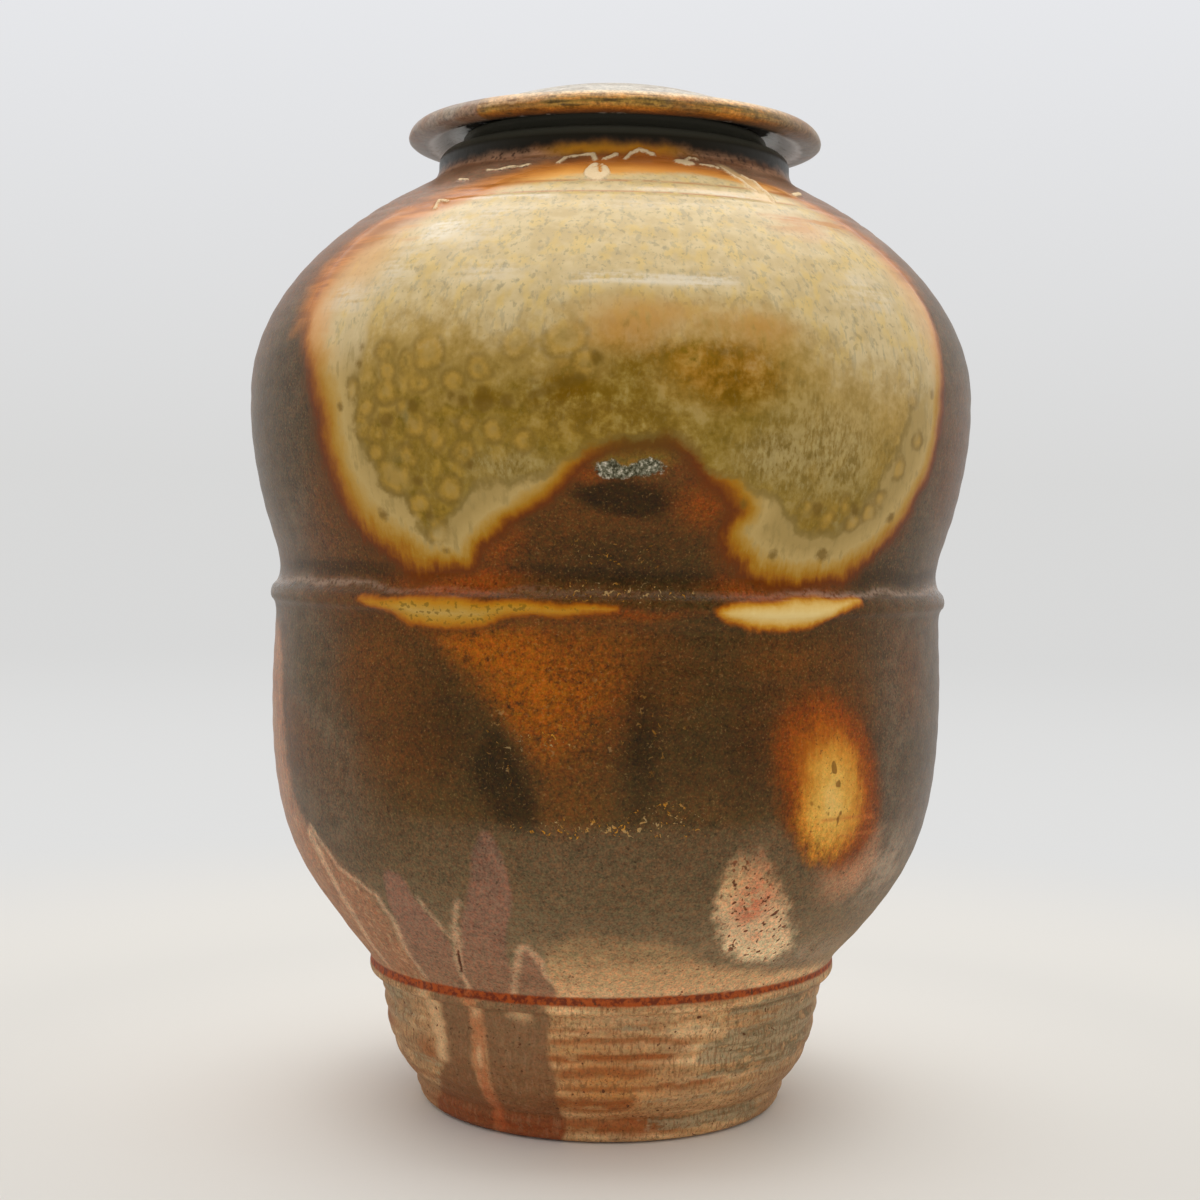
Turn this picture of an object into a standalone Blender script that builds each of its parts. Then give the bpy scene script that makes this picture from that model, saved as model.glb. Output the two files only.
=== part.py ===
"""Lidded storage jar of wood-fired stoneware: a thrown jar body and a loose domed lid.

Both pieces are turned shapes round the vertical axis. Radii are measured from that axis,
and heights stack up from the surface that the jar stands on. Slopes are in degrees:
0 leads outwards, 90 leads up and 270 leads down. A pull is how far a curve follows its slope.
"""

import math

import bmesh
import bpy

# Facets round the axis, and the shading angle under which an edge stays soft
SEGMENTS = 56
SOFT_EDGE = math.radians(32)
SAME_POINT = 1e-6

# Foot: a shallow pad with a dished underside
PAD_RADIUS = 0.0740
PAD_TAPER = 0.0012
PAD_HEIGHT = 0.0105
PAD_EDGE = 0.0050
PAD_SHOULDER = 0.0031
RING_WIDTH = 0.0100
DISH_DEPTH = 0.0025

# Pedestal: the waisted section above the pad, with grooves left by the thrower's fingers
PEDESTAL_HEIGHT = 0.0410
PEDESTAL_TOP_RADIUS = 0.0893
PEDESTAL_NOTCH = 0.0007
PEDESTAL_NOTCH_DROP = 0.0008
PEDESTAL_PULL = 0.0172
PEDESTAL_BASE_SLOPE = 42
PEDESTAL_TOP_SLOPE = 258
GROOVE_HEIGHTS = (0.0143, 0.0255, 0.0325)
GROOVE_DEPTH = 0.0008
GROOVE_WIDTH = 0.0018

# Ledge: the rounded lip that overhangs the pedestal
LEDGE_RADIUS = 0.0932
LEDGE_HEIGHT = 0.0085
LEDGE_UNDERCUT = 0.0026
LEDGE_UNDERCUT_RISE = 0.0015
LEDGE_ROUND = 0.0021
LEDGE_ROUND_HEIGHT = 0.0030

# Belly: the lower swelling, up to the bead round the waist
BELLY_HEIGHT = 0.1350
BELLY_TOP_RADIUS = 0.1317
BELLY_BASE_PULL = 0.0490
BELLY_TOP_PULL = 0.0870
BELLY_BASE_SLOPE = 50
BELLY_TOP_SLOPE = 272.6

# Waist: a raised bead with a crease above it
BEAD_RADIUS = 0.1338
BEAD_HEIGHT = 0.0135
BEAD_NOSE = 0.0061
BEAD_PULL = 0.0041
CREASE_RADIUS = 0.1304
CREASE_HEIGHT = 0.0055

# Bulb: the upper swelling and the shoulder that closes in to the neck
BULB_RADIUS = 0.1420
BULB_RISE = 0.0625
BULB_BASE_PULL = 0.0430
BULB_TOP_PULL = 0.0030
BULB_BASE_SLOPE = 72
SHOULDER_RISE = 0.0850
SHOULDER_BASE_PULL = 0.0060
SHOULDER_TOP_PULL = 0.0800
SHOULDER_TOP_SLOPE = 333

# Neck: a low collar that leans in to a rounded rim
NECK_RADIUS = 0.0738
COLLAR_RADIUS = 0.0694
COLLAR_HEIGHT = 0.0100
COLLAR_BASE_PULL = 0.0035
COLLAR_TOP_PULL = 0.0055
COLLAR_BASE_SLOPE = 153
COLLAR_TOP_SLOPE = 92
RIM_RISE = 0.0105
RIM_RADIUS = 0.0606
RIM_ROUND = 0.0032
RIM_BASE_PULL = 0.0037
RIM_TOP_PULL = 0.0032
RIM_TOP_SLOPE = 280

# Walls, and the rounded corner where the wall meets the floor inside
WALL = 0.0085
FLOOR = 0.0110
FLOOR_RADIUS = 0.0560
FLOOR_PULL = 0.0043
FLOOR_SLOPE = 240
THROAT_DROP = 0.0020

# Lid: a low dome with a thick rolled edge, and a locating flange that drops into the mouth
LID_RADIUS = 0.0816
LID_EDGE_WIDTH = 0.0074
LID_EDGE_TOP = 0.0062
LID_EDGE_BOTTOM = 0.0021
LID_EDGE_DROP = 0.0050
VALLEY_DEPTH = 0.0004
DOME_RADIUS = 0.0680
DOME_RISE = 0.0158
DOME_THICKNESS = 0.0085
SEAT_GAP = 0.0003
SEAT_WIDTH = 0.0030
SEAT_PULL = 0.0024
UNDERSIDE_PULL = 0.0037
FLANGE_CLEARANCE = 0.0018
FLANGE_THICKNESS = 0.0060
FLANGE_DEPTH = 0.0120
FLANGE_ROUND = 0.0018

# Levels that the heights add up to
PEDESTAL_BASE = PAD_HEIGHT
LEDGE_BASE = PEDESTAL_BASE + PEDESTAL_HEIGHT
BELLY_BASE = LEDGE_BASE + LEDGE_HEIGHT
BEAD_BASE = BELLY_BASE + BELLY_HEIGHT
CREASE_BASE = BEAD_BASE + BEAD_HEIGHT
BULB_BASE = CREASE_BASE + CREASE_HEIGHT
BULB_WIDEST = BULB_BASE + BULB_RISE
NECK_BASE = BULB_WIDEST + SHOULDER_RISE
COLLAR_TOP = NECK_BASE + COLLAR_HEIGHT
MOUTH_TOP = COLLAR_TOP + RIM_RISE
MOUTH_RADIUS = RIM_RADIUS - 2 * RIM_ROUND
LID_SEAT = MOUTH_TOP + SEAT_GAP


def along(point, slope, pull):
    """The point that lies this far from point in the direction of slope."""
    turn = math.radians(slope)
    return point[0] + pull * math.cos(turn), point[1] + pull * math.sin(turn)


def curve(start, first_pull, second_pull, end, steps):
    """Points of a smooth curve from start to end, without start itself."""
    corners = (start, first_pull, second_pull, end)
    points = []
    for step in range(1, steps + 1):
        t = step / steps
        weights = ((1 - t) ** 3, 3 * (1 - t) ** 2 * t, 3 * (1 - t) * t**2, t**3)
        radius = sum(weight * corner[0] for weight, corner in zip(weights, corners))
        height = sum(weight * corner[1] for weight, corner in zip(weights, corners))
        points.append((radius, height))
    return points


def arc(centre, radius, first_angle, last_angle, steps, height=None):
    """Points round a centre, with both ends. A height makes it an upright or flat oval."""
    points = []
    for step in range(steps + 1):
        turn = math.radians(first_angle + (last_angle - first_angle) * step / steps)
        across = radius * math.cos(turn)
        up = (height or radius) * math.sin(turn)
        points.append((centre[0] + across, centre[1] + up))
    return points


def inset(points, depth):
    """The points moved square to their line, to its left, by depth."""
    moved = []
    for index, point in enumerate(points):
        before = points[max(index - 1, 0)]
        after = points[min(index + 1, len(points) - 1)]
        run, rise = after[0] - before[0], after[1] - before[1]
        length = math.hypot(run, rise)
        moved.append((point[0] - depth * rise / length, point[1] + depth * run / length))
    return moved


def pedestal_curve(steps):
    start = (PAD_RADIUS, PEDESTAL_BASE)
    end = (PEDESTAL_TOP_RADIUS, LEDGE_BASE)
    first_pull = along(start, PEDESTAL_BASE_SLOPE, PEDESTAL_PULL)
    second_pull = along(end, PEDESTAL_TOP_SLOPE, PEDESTAL_PULL)
    return [start] + curve(start, first_pull, second_pull, end, steps)


def belly_curve(steps):
    start = (LEDGE_RADIUS, BELLY_BASE)
    end = (BELLY_TOP_RADIUS, BEAD_BASE)
    first_pull = along(start, BELLY_BASE_SLOPE, BELLY_BASE_PULL)
    second_pull = along(end, BELLY_TOP_SLOPE, BELLY_TOP_PULL)
    return curve(start, first_pull, second_pull, end, steps)


def bulb_curve(steps):
    start = (CREASE_RADIUS, BULB_BASE)
    end = (BULB_RADIUS, BULB_WIDEST)
    first_pull = along(start, BULB_BASE_SLOPE, BULB_BASE_PULL)
    return curve(start, first_pull, along(end, 270, BULB_TOP_PULL), end, steps)


def shoulder_curve(steps):
    start = (BULB_RADIUS, BULB_WIDEST)
    end = (NECK_RADIUS, NECK_BASE)
    second_pull = along(end, SHOULDER_TOP_SLOPE, SHOULDER_TOP_PULL)
    return curve(start, along(start, 90, SHOULDER_BASE_PULL), second_pull, end, steps)


def grooved(points):
    """The pedestal's points, drawn in where the thrower's fingers pressed."""
    pressed = []
    for radius, height in points:
        for groove in GROOVE_HEIGHTS:
            away = (height - PEDESTAL_BASE - groove) / GROOVE_WIDTH
            radius -= GROOVE_DEPTH * math.exp(-away * away)
        pressed.append((radius, height))
    return pressed


def foot_line():
    """From the middle of the jar's underside out over the resting ring and up the pad."""
    pad_corner = (PAD_RADIUS - PAD_TAPER - PAD_EDGE, PAD_EDGE)
    ring_inner = pad_corner[0] - RING_WIDTH
    line = [(0, DISH_DEPTH), (ring_inner - DISH_DEPTH, DISH_DEPTH), (ring_inner, 0)]
    line += arc(pad_corner, PAD_EDGE, 270, 360, steps=3)
    line += [(PAD_RADIUS, PAD_HEIGHT - PAD_SHOULDER)]
    line += [(PAD_RADIUS - PEDESTAL_NOTCH, PAD_HEIGHT - PEDESTAL_NOTCH_DROP)]
    return line


def ledge_line():
    """Round the lip above the pedestal, up to where the belly starts."""
    centre = (LEDGE_RADIUS - LEDGE_ROUND, LEDGE_BASE + LEDGE_HEIGHT / 2)
    line = [(LEDGE_RADIUS - LEDGE_UNDERCUT, LEDGE_BASE + LEDGE_UNDERCUT_RISE)]
    line += arc(centre, LEDGE_ROUND, 300, 375, steps=3, height=LEDGE_ROUND_HEIGHT)
    line += [(LEDGE_RADIUS, BELLY_BASE)]
    return line


def waist_line():
    """From the belly's top over the bead and up the crease above it."""
    belly_top = (BELLY_TOP_RADIUS, BEAD_BASE)
    nose = (BEAD_RADIUS, BEAD_BASE + BEAD_NOSE)
    crease = (CREASE_RADIUS, CREASE_BASE)
    line = curve(belly_top, along(belly_top, 90, BEAD_PULL), along(nose, 270, BEAD_PULL), nose, steps=3)
    line += curve(nose, along(nose, 90, BEAD_PULL), along(crease, 270, BEAD_PULL), crease, steps=3)
    line += [(CREASE_RADIUS, BULB_BASE)]
    return line


def collar_line():
    """From the shoulder's top up the collar and on to the outer side of the rim."""
    neck = (NECK_RADIUS, NECK_BASE)
    collar = (COLLAR_RADIUS, COLLAR_TOP)
    rim = (RIM_RADIUS, MOUTH_TOP - RIM_ROUND)
    first_pull = along(neck, COLLAR_BASE_SLOPE, COLLAR_BASE_PULL)
    second_pull = along(collar, 180 + COLLAR_TOP_SLOPE, COLLAR_TOP_PULL)
    line = curve(neck, first_pull, second_pull, collar, steps=3)
    first_pull = along(collar, COLLAR_TOP_SLOPE, RIM_BASE_PULL)
    second_pull = along(rim, RIM_TOP_SLOPE, RIM_TOP_PULL)
    line += curve(collar, first_pull, second_pull, rim, steps=3)
    return line


def jar_inside():
    """From under the rim down the wall to the middle of the jar's floor."""
    waist = [(CREASE_RADIUS, BULB_BASE)]
    outside = pedestal_curve(3)[1:] + belly_curve(6) + waist + bulb_curve(3) + shoulder_curve(6)
    floor_top = DISH_DEPTH + FLOOR
    wall = [point for point in inset(outside, WALL) if point[1] > floor_top + WALL]
    line = [
        (MOUTH_RADIUS, MOUTH_TOP - 2 * RIM_ROUND),
        (COLLAR_RADIUS - WALL, COLLAR_TOP - THROAT_DROP),
        (COLLAR_RADIUS - WALL, NECK_BASE),
    ]
    line += wall[::-1]
    floor_edge = (FLOOR_RADIUS, floor_top)
    first_pull = along(wall[0], FLOOR_SLOPE, FLOOR_PULL)
    line += curve(wall[0], first_pull, along(floor_edge, 0, FLOOR_PULL), floor_edge, steps=4)
    line += [(0, floor_top)]
    return line


def jar_line():
    """The jar's whole half section, from the middle of its underside round to its floor."""
    rim_centre = (RIM_RADIUS - RIM_ROUND, MOUTH_TOP - RIM_ROUND)
    line = foot_line() + grooved(pedestal_curve(17)) + ledge_line()
    line += belly_curve(8) + waist_line() + bulb_curve(5) + shoulder_curve(9) + collar_line()
    line += arc(rim_centre, RIM_ROUND, 0, 180, steps=6)[1:]
    return line + jar_inside()


def lid_line():
    """The lid's half section, from the middle of its underside out and up over the dome."""
    flange_outer = MOUTH_RADIUS - FLANGE_CLEARANCE
    flange_inner = flange_outer - FLANGE_THICKNESS
    flange_middle = LID_SEAT - FLANGE_DEPTH + FLANGE_ROUND
    edge_bottom = LID_SEAT - LID_EDGE_DROP
    edge_centre = (LID_RADIUS - LID_EDGE_WIDTH, edge_bottom + LID_EDGE_BOTTOM)
    valley = edge_centre[1] + LID_EDGE_TOP - VALLEY_DEPTH
    dome_bend = (DOME_RADIUS**2 + DOME_RISE**2) / (2 * DOME_RISE)
    dome_centre = (0, valley + DOME_RISE - dome_bend)
    dome_end = math.degrees(math.acos(DOME_RADIUS / dome_bend))
    hollow_bend = dome_bend - DOME_THICKNESS
    hollow_end = math.degrees(math.acos(flange_inner / hollow_bend))
    seat_end = (RIM_RADIUS + SEAT_WIDTH, LID_SEAT)
    underside = (edge_centre[0], edge_bottom)

    line = [(0, dome_centre[1] + hollow_bend)]
    line += arc(dome_centre, hollow_bend, 90, hollow_end, steps=4)[1:]
    line += arc((flange_inner + FLANGE_ROUND, flange_middle), FLANGE_ROUND, 180, 270, steps=2)
    line += arc((flange_outer - FLANGE_ROUND, flange_middle), FLANGE_ROUND, 270, 360, steps=2)
    line += [(flange_outer, LID_SEAT), seat_end]
    second_pull = along(underside, 180, UNDERSIDE_PULL)
    line += curve(seat_end, along(seat_end, 0, SEAT_PULL), second_pull, underside, steps=4)
    line += arc(edge_centre, LID_EDGE_WIDTH, 270, 360, steps=4, height=LID_EDGE_BOTTOM)[1:]
    line += arc(edge_centre, LID_EDGE_WIDTH, 0, 90, steps=6, height=LID_EDGE_TOP)[1:]
    line += arc(dome_centre, dome_bend, dome_end, 90, steps=9)[:-1]
    line += [(0, dome_centre[1] + dome_bend)]
    return line


def turned(name, line, material):
    """A solid whose half section is line, which starts and ends on the vertical axis."""
    mesh = bpy.data.meshes.new(name)
    shape = bmesh.new()
    points = [shape.verts.new((radius, 0, height)) for radius, height in line]
    edges = [shape.edges.new(pair) for pair in zip(points, points[1:])]
    bmesh.ops.spin(
        shape,
        geom=points + edges,
        axis=(0, 0, 1),
        cent=(0, 0, 0),
        steps=SEGMENTS,
        angle=2 * math.pi,
        use_merge=True,
    )
    bmesh.ops.remove_doubles(shape, verts=shape.verts, dist=SAME_POINT)
    bmesh.ops.recalc_face_normals(shape, faces=shape.faces)
    shape.to_mesh(mesh)
    shape.free()
    mesh.shade_smooth()
    mesh.set_sharp_from_angle(angle=SOFT_EDGE)
    mesh.materials.append(material)
    piece = bpy.data.objects.new(name, mesh)
    bpy.context.scene.collection.objects.link(piece)
    return piece


def stoneware(name, colour, roughness):
    material = bpy.data.materials.new(name)
    material.use_nodes = True
    shader = material.node_tree.nodes["Principled BSDF"]
    shader.inputs["Base Color"].default_value = (*colour, 1)
    shader.inputs["Roughness"].default_value = roughness
    shader.inputs["Metallic"].default_value = 0
    return material


for old in list(bpy.data.objects):
    bpy.data.objects.remove(old, do_unlink=True)

jar_clay = stoneware("ash_glazed_stoneware", (0.17, 0.11, 0.07), 0.35)
lid_clay = stoneware("flashed_stoneware", (0.26, 0.16, 0.09), 0.45)

turned("jar", jar_line(), jar_clay)
turned("lid", lid_line(), lid_clay)
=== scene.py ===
"""Dresses the lidded jar as wood-fired stoneware with natural ash glaze.

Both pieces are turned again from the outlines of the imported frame, with finer steps, and get the
marks of throwing and firing. A place on the jar is given as (azimuth, height): azimuth in degrees
round the axis, where 0 faces the camera and 90 is on its right, and height in millimetres above
the floor. Sizes of marks are in millimetres along the surface.

Where a mark lies is worked out here for each point of the skin, as its depth in millimetres
inside the mark's edge, or as a share from 0 to 1. Each result is a named field of the mesh. The
materials turn the fields into colours, and break the edges up. In a material's calls a text is
the name of a field, and three whole numbers are a colour as it looks on screen.
"""

import math

import bpy
import numpy as np
from mathutils import Matrix, Vector


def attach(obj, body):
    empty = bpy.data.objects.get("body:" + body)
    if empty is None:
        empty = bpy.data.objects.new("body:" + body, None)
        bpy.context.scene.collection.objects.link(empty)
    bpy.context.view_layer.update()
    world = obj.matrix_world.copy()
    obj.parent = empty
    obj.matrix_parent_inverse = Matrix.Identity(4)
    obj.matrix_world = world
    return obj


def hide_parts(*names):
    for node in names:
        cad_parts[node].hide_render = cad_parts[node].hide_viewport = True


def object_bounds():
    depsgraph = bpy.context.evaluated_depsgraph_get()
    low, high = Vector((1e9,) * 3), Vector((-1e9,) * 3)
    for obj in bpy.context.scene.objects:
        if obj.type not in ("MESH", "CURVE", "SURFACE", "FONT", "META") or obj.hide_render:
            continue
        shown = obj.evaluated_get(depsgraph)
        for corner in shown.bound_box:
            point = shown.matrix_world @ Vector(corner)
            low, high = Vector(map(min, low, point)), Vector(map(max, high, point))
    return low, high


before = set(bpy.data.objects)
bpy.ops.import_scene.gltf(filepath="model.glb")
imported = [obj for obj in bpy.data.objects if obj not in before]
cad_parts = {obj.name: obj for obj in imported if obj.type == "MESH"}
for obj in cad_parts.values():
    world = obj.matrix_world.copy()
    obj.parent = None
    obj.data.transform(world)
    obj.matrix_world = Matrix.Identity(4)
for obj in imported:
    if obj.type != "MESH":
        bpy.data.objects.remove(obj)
cad_low, cad_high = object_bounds()

MM = 0.001

# Steps of the meshes in mm along the outlines and in degrees round the axis, in front and behind
WALL_STEP = 1.1
HIDDEN_STEP = 3.0
LID_STEP = 1.0
FRONT_STEP = 0.45
BACK_STEP = 0.9
FRONT_HALF = 70
CURVE_STEPS = 25

# Cells of the noise grid on each side, a shift that keeps their numbers positive, and the least
# radius at which the width of a mark is measured
GRID_CELLS = 24
GRID_SHIFT = 100.0
LEAST_RADIUS = 20

# Camera, from the photograph's framing
CAMERA_PLACE = (-0.0029, -0.80, 0.2285)
CAMERA_PITCH = -2.124
CAMERA_ROLL = 0.95
CAMERA_LENS = 59.84
CAMERA_SENSOR = 36.0

# Depth of a place that is nowhere near a mark
FAR_OUTSIDE = -40.0

# What is taken off the outline, so that the marks on it stay within the frame's box
SET_BACK = 0.25
EDGE_GAP = 0.02

# Throwing rings on the belly, and grooves on the shoulder and foot as (height, depth)
RING_PITCH = 9.5
RING_DEPTH = 0.09
GROOVES = [
    (350.3, 0.25), (345.4, 0.3), (341.5, 0.15), (46.8, 0.25), (42.6, 0.35), (36.6, 0.3), (29, 0.2),
    (17.5, 0.25),
]
GROOVE_HALF_WIDTH = 0.8
LEDGE_LINE_HEIGHT = 58.6

# Marks that stand proud of the clay or lie in it, as (field, depth where it starts, depth where it
# is full, rise)
RELIEFS = [
    ("ash", -1, 4, 0.22), ("pool", -0.8, 1.2, 0.3), ("crust", -0.35, 0.45, 0.7),
    ("silver", -0.5, 1.0, 0.5), ("split", -0.3, 0.5, -0.35),
]

# The lid's scorched left part starts between these azimuths
LEFT_PART = (38.3, 39.5)

# How strongly the clay and glaze mirror
JAR_SPECULAR = 0.14
LID_SPECULAR = 0.22

# Sizes of the curdled cells in the glaze, and of what stirs them
CURD_SIZE = 8
CURD_STIR = 5
CURD_STIR_SIZE = 4

# The floor's half width, its colours, and the distances in m over which they change
FLOOR_REACH = 6.0
# The ring over which the floor is painted paler near the jar, as painted light that weakens the jar's
# shadow
PAINTED_LIGHT_RING = (0.32, 0.08)
FADE_RING = (0.36, 0.72)
HORIZON_RING = (0.6, 3.0)
FLOOR_COLOUR = (0.63, 0.612, 0.58, 1)
# Paler floor near the jar, as painted light
FLOOR_NEAR_PAINTED_LIGHT = (0.84, 0.81, 0.76, 1)
BACKDROP_TOP = (0.82, 0.83, 0.86, 1)
BACKDROP_MIDDLE = (0.69, 0.69, 0.685, 1)
BACKDROP_FOOT = (0.75, 0.75, 0.745, 1)


# Outlines of the frame's pieces

def half_section(node):
    """A turned CAD piece's outline as (radius, height) in mm, from its lower middle point round."""
    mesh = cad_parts[node].data
    places = [tuple(round(value / MM, 3) for value in vertex.co) for vertex in mesh.vertices]
    neighbours = {}
    for edge in mesh.edges:
        first, second = (places[index] for index in edge.vertices)
        if first != second and all(abs(p[1]) < 0.001 and p[0] > -0.001 for p in (first, second)):
            neighbours.setdefault(first, set()).add(second)
            neighbours.setdefault(second, set()).add(first)
    here = min((p for p in neighbours if len(neighbours[p]) == 1), key=lambda p: p[2])
    line = [here]
    while len(line) < len(neighbours):
        here = next(p for p in neighbours[here] if p not in line[-2:])
        line.append(here)
    outline = [(p[0], p[2]) for p in line]
    if outline[0][0] > 0:
        outline = [(0.0, outline[0][1]), *outline, (0.0, outline[-1][1])]
    return np.array(outline)


def smooth_line(points, step):
    """Points on a smooth line through all the given ones. step(point) is their distance there."""
    padded = np.vstack([2 * points[0] - points[1], points, 2 * points[-1] - points[-2]])
    dense = []
    for corners in zip(padded, padded[1:], padded[2:], padded[3:]):
        p0, p1, p2, p3 = corners
        roots = [math.sqrt(max(math.dist(a, b), 1e-6)) for a, b in zip(corners, corners[1:])]
        knots = np.cumsum([0] + roots)
        for t in np.linspace(knots[1], knots[2], CURVE_STEPS)[:-1]:
            a1 = ((knots[1] - t) * p0 + t * p1) / knots[1]
            a2 = ((knots[2] - t) * p1 + (t - knots[1]) * p2) / (knots[2] - knots[1])
            a3 = ((knots[3] - t) * p2 + (t - knots[2]) * p3) / (knots[3] - knots[2])
            b1 = ((knots[2] - t) * a1 + t * a2) / knots[2]
            b2 = ((knots[3] - t) * a2 + (t - knots[1]) * a3) / (knots[3] - knots[1])
            dense.append(((knots[2] - t) * b1 + (t - knots[1]) * b2) / (knots[2] - knots[1]))
    dense = np.array(dense + [points[-1]])
    gaps = np.hypot(*np.diff(dense, axis=0).T)
    steps = np.cumsum([0] + [gap / step(point) for gap, point in zip(gaps, dense)])
    spots = np.linspace(0, steps[-1], int(round(steps[-1])) + 1)
    return np.stack([np.interp(spots, steps, dense[:, axis]) for axis in (0, 1)], -1)


def column_angles():
    """Azimuths of the mesh's columns, closer together on the side that faces the camera."""
    front = np.arange(-FRONT_HALF, FRONT_HALF, FRONT_STEP)
    back = np.arange(FRONT_HALF, 360 - FRONT_HALF, BACK_STEP)
    return np.concatenate([front, back])


# Smooth noise and easing over arrays

def drift(places, size, seed):
    """Smooth noise from -1 to 1 over places in mm, with features of this size."""
    lattice = np.random.default_rng(seed).uniform(-1, 1, (GRID_CELLS,) * 3)
    cell = places / size + GRID_SHIFT
    base = np.floor(cell).astype(int)
    share = cell - base
    share = share * share * (3 - 2 * share)
    total = 0
    for corner in range(8):
        offset = np.array([corner & 1, corner >> 1 & 1, corner >> 2])
        weight = np.prod(np.where(offset, share, 1 - share), axis=-1)
        index = (base + offset) % GRID_CELLS
        total = total + weight * lattice[index[..., 0], index[..., 1], index[..., 2]]
    return total


def ease(value, low, high):
    """0 below low, 1 above high, smooth in between."""
    share = np.clip((value - low) / (high - low), 0, 1)
    return share * share * (3 - 2 * share)


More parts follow.
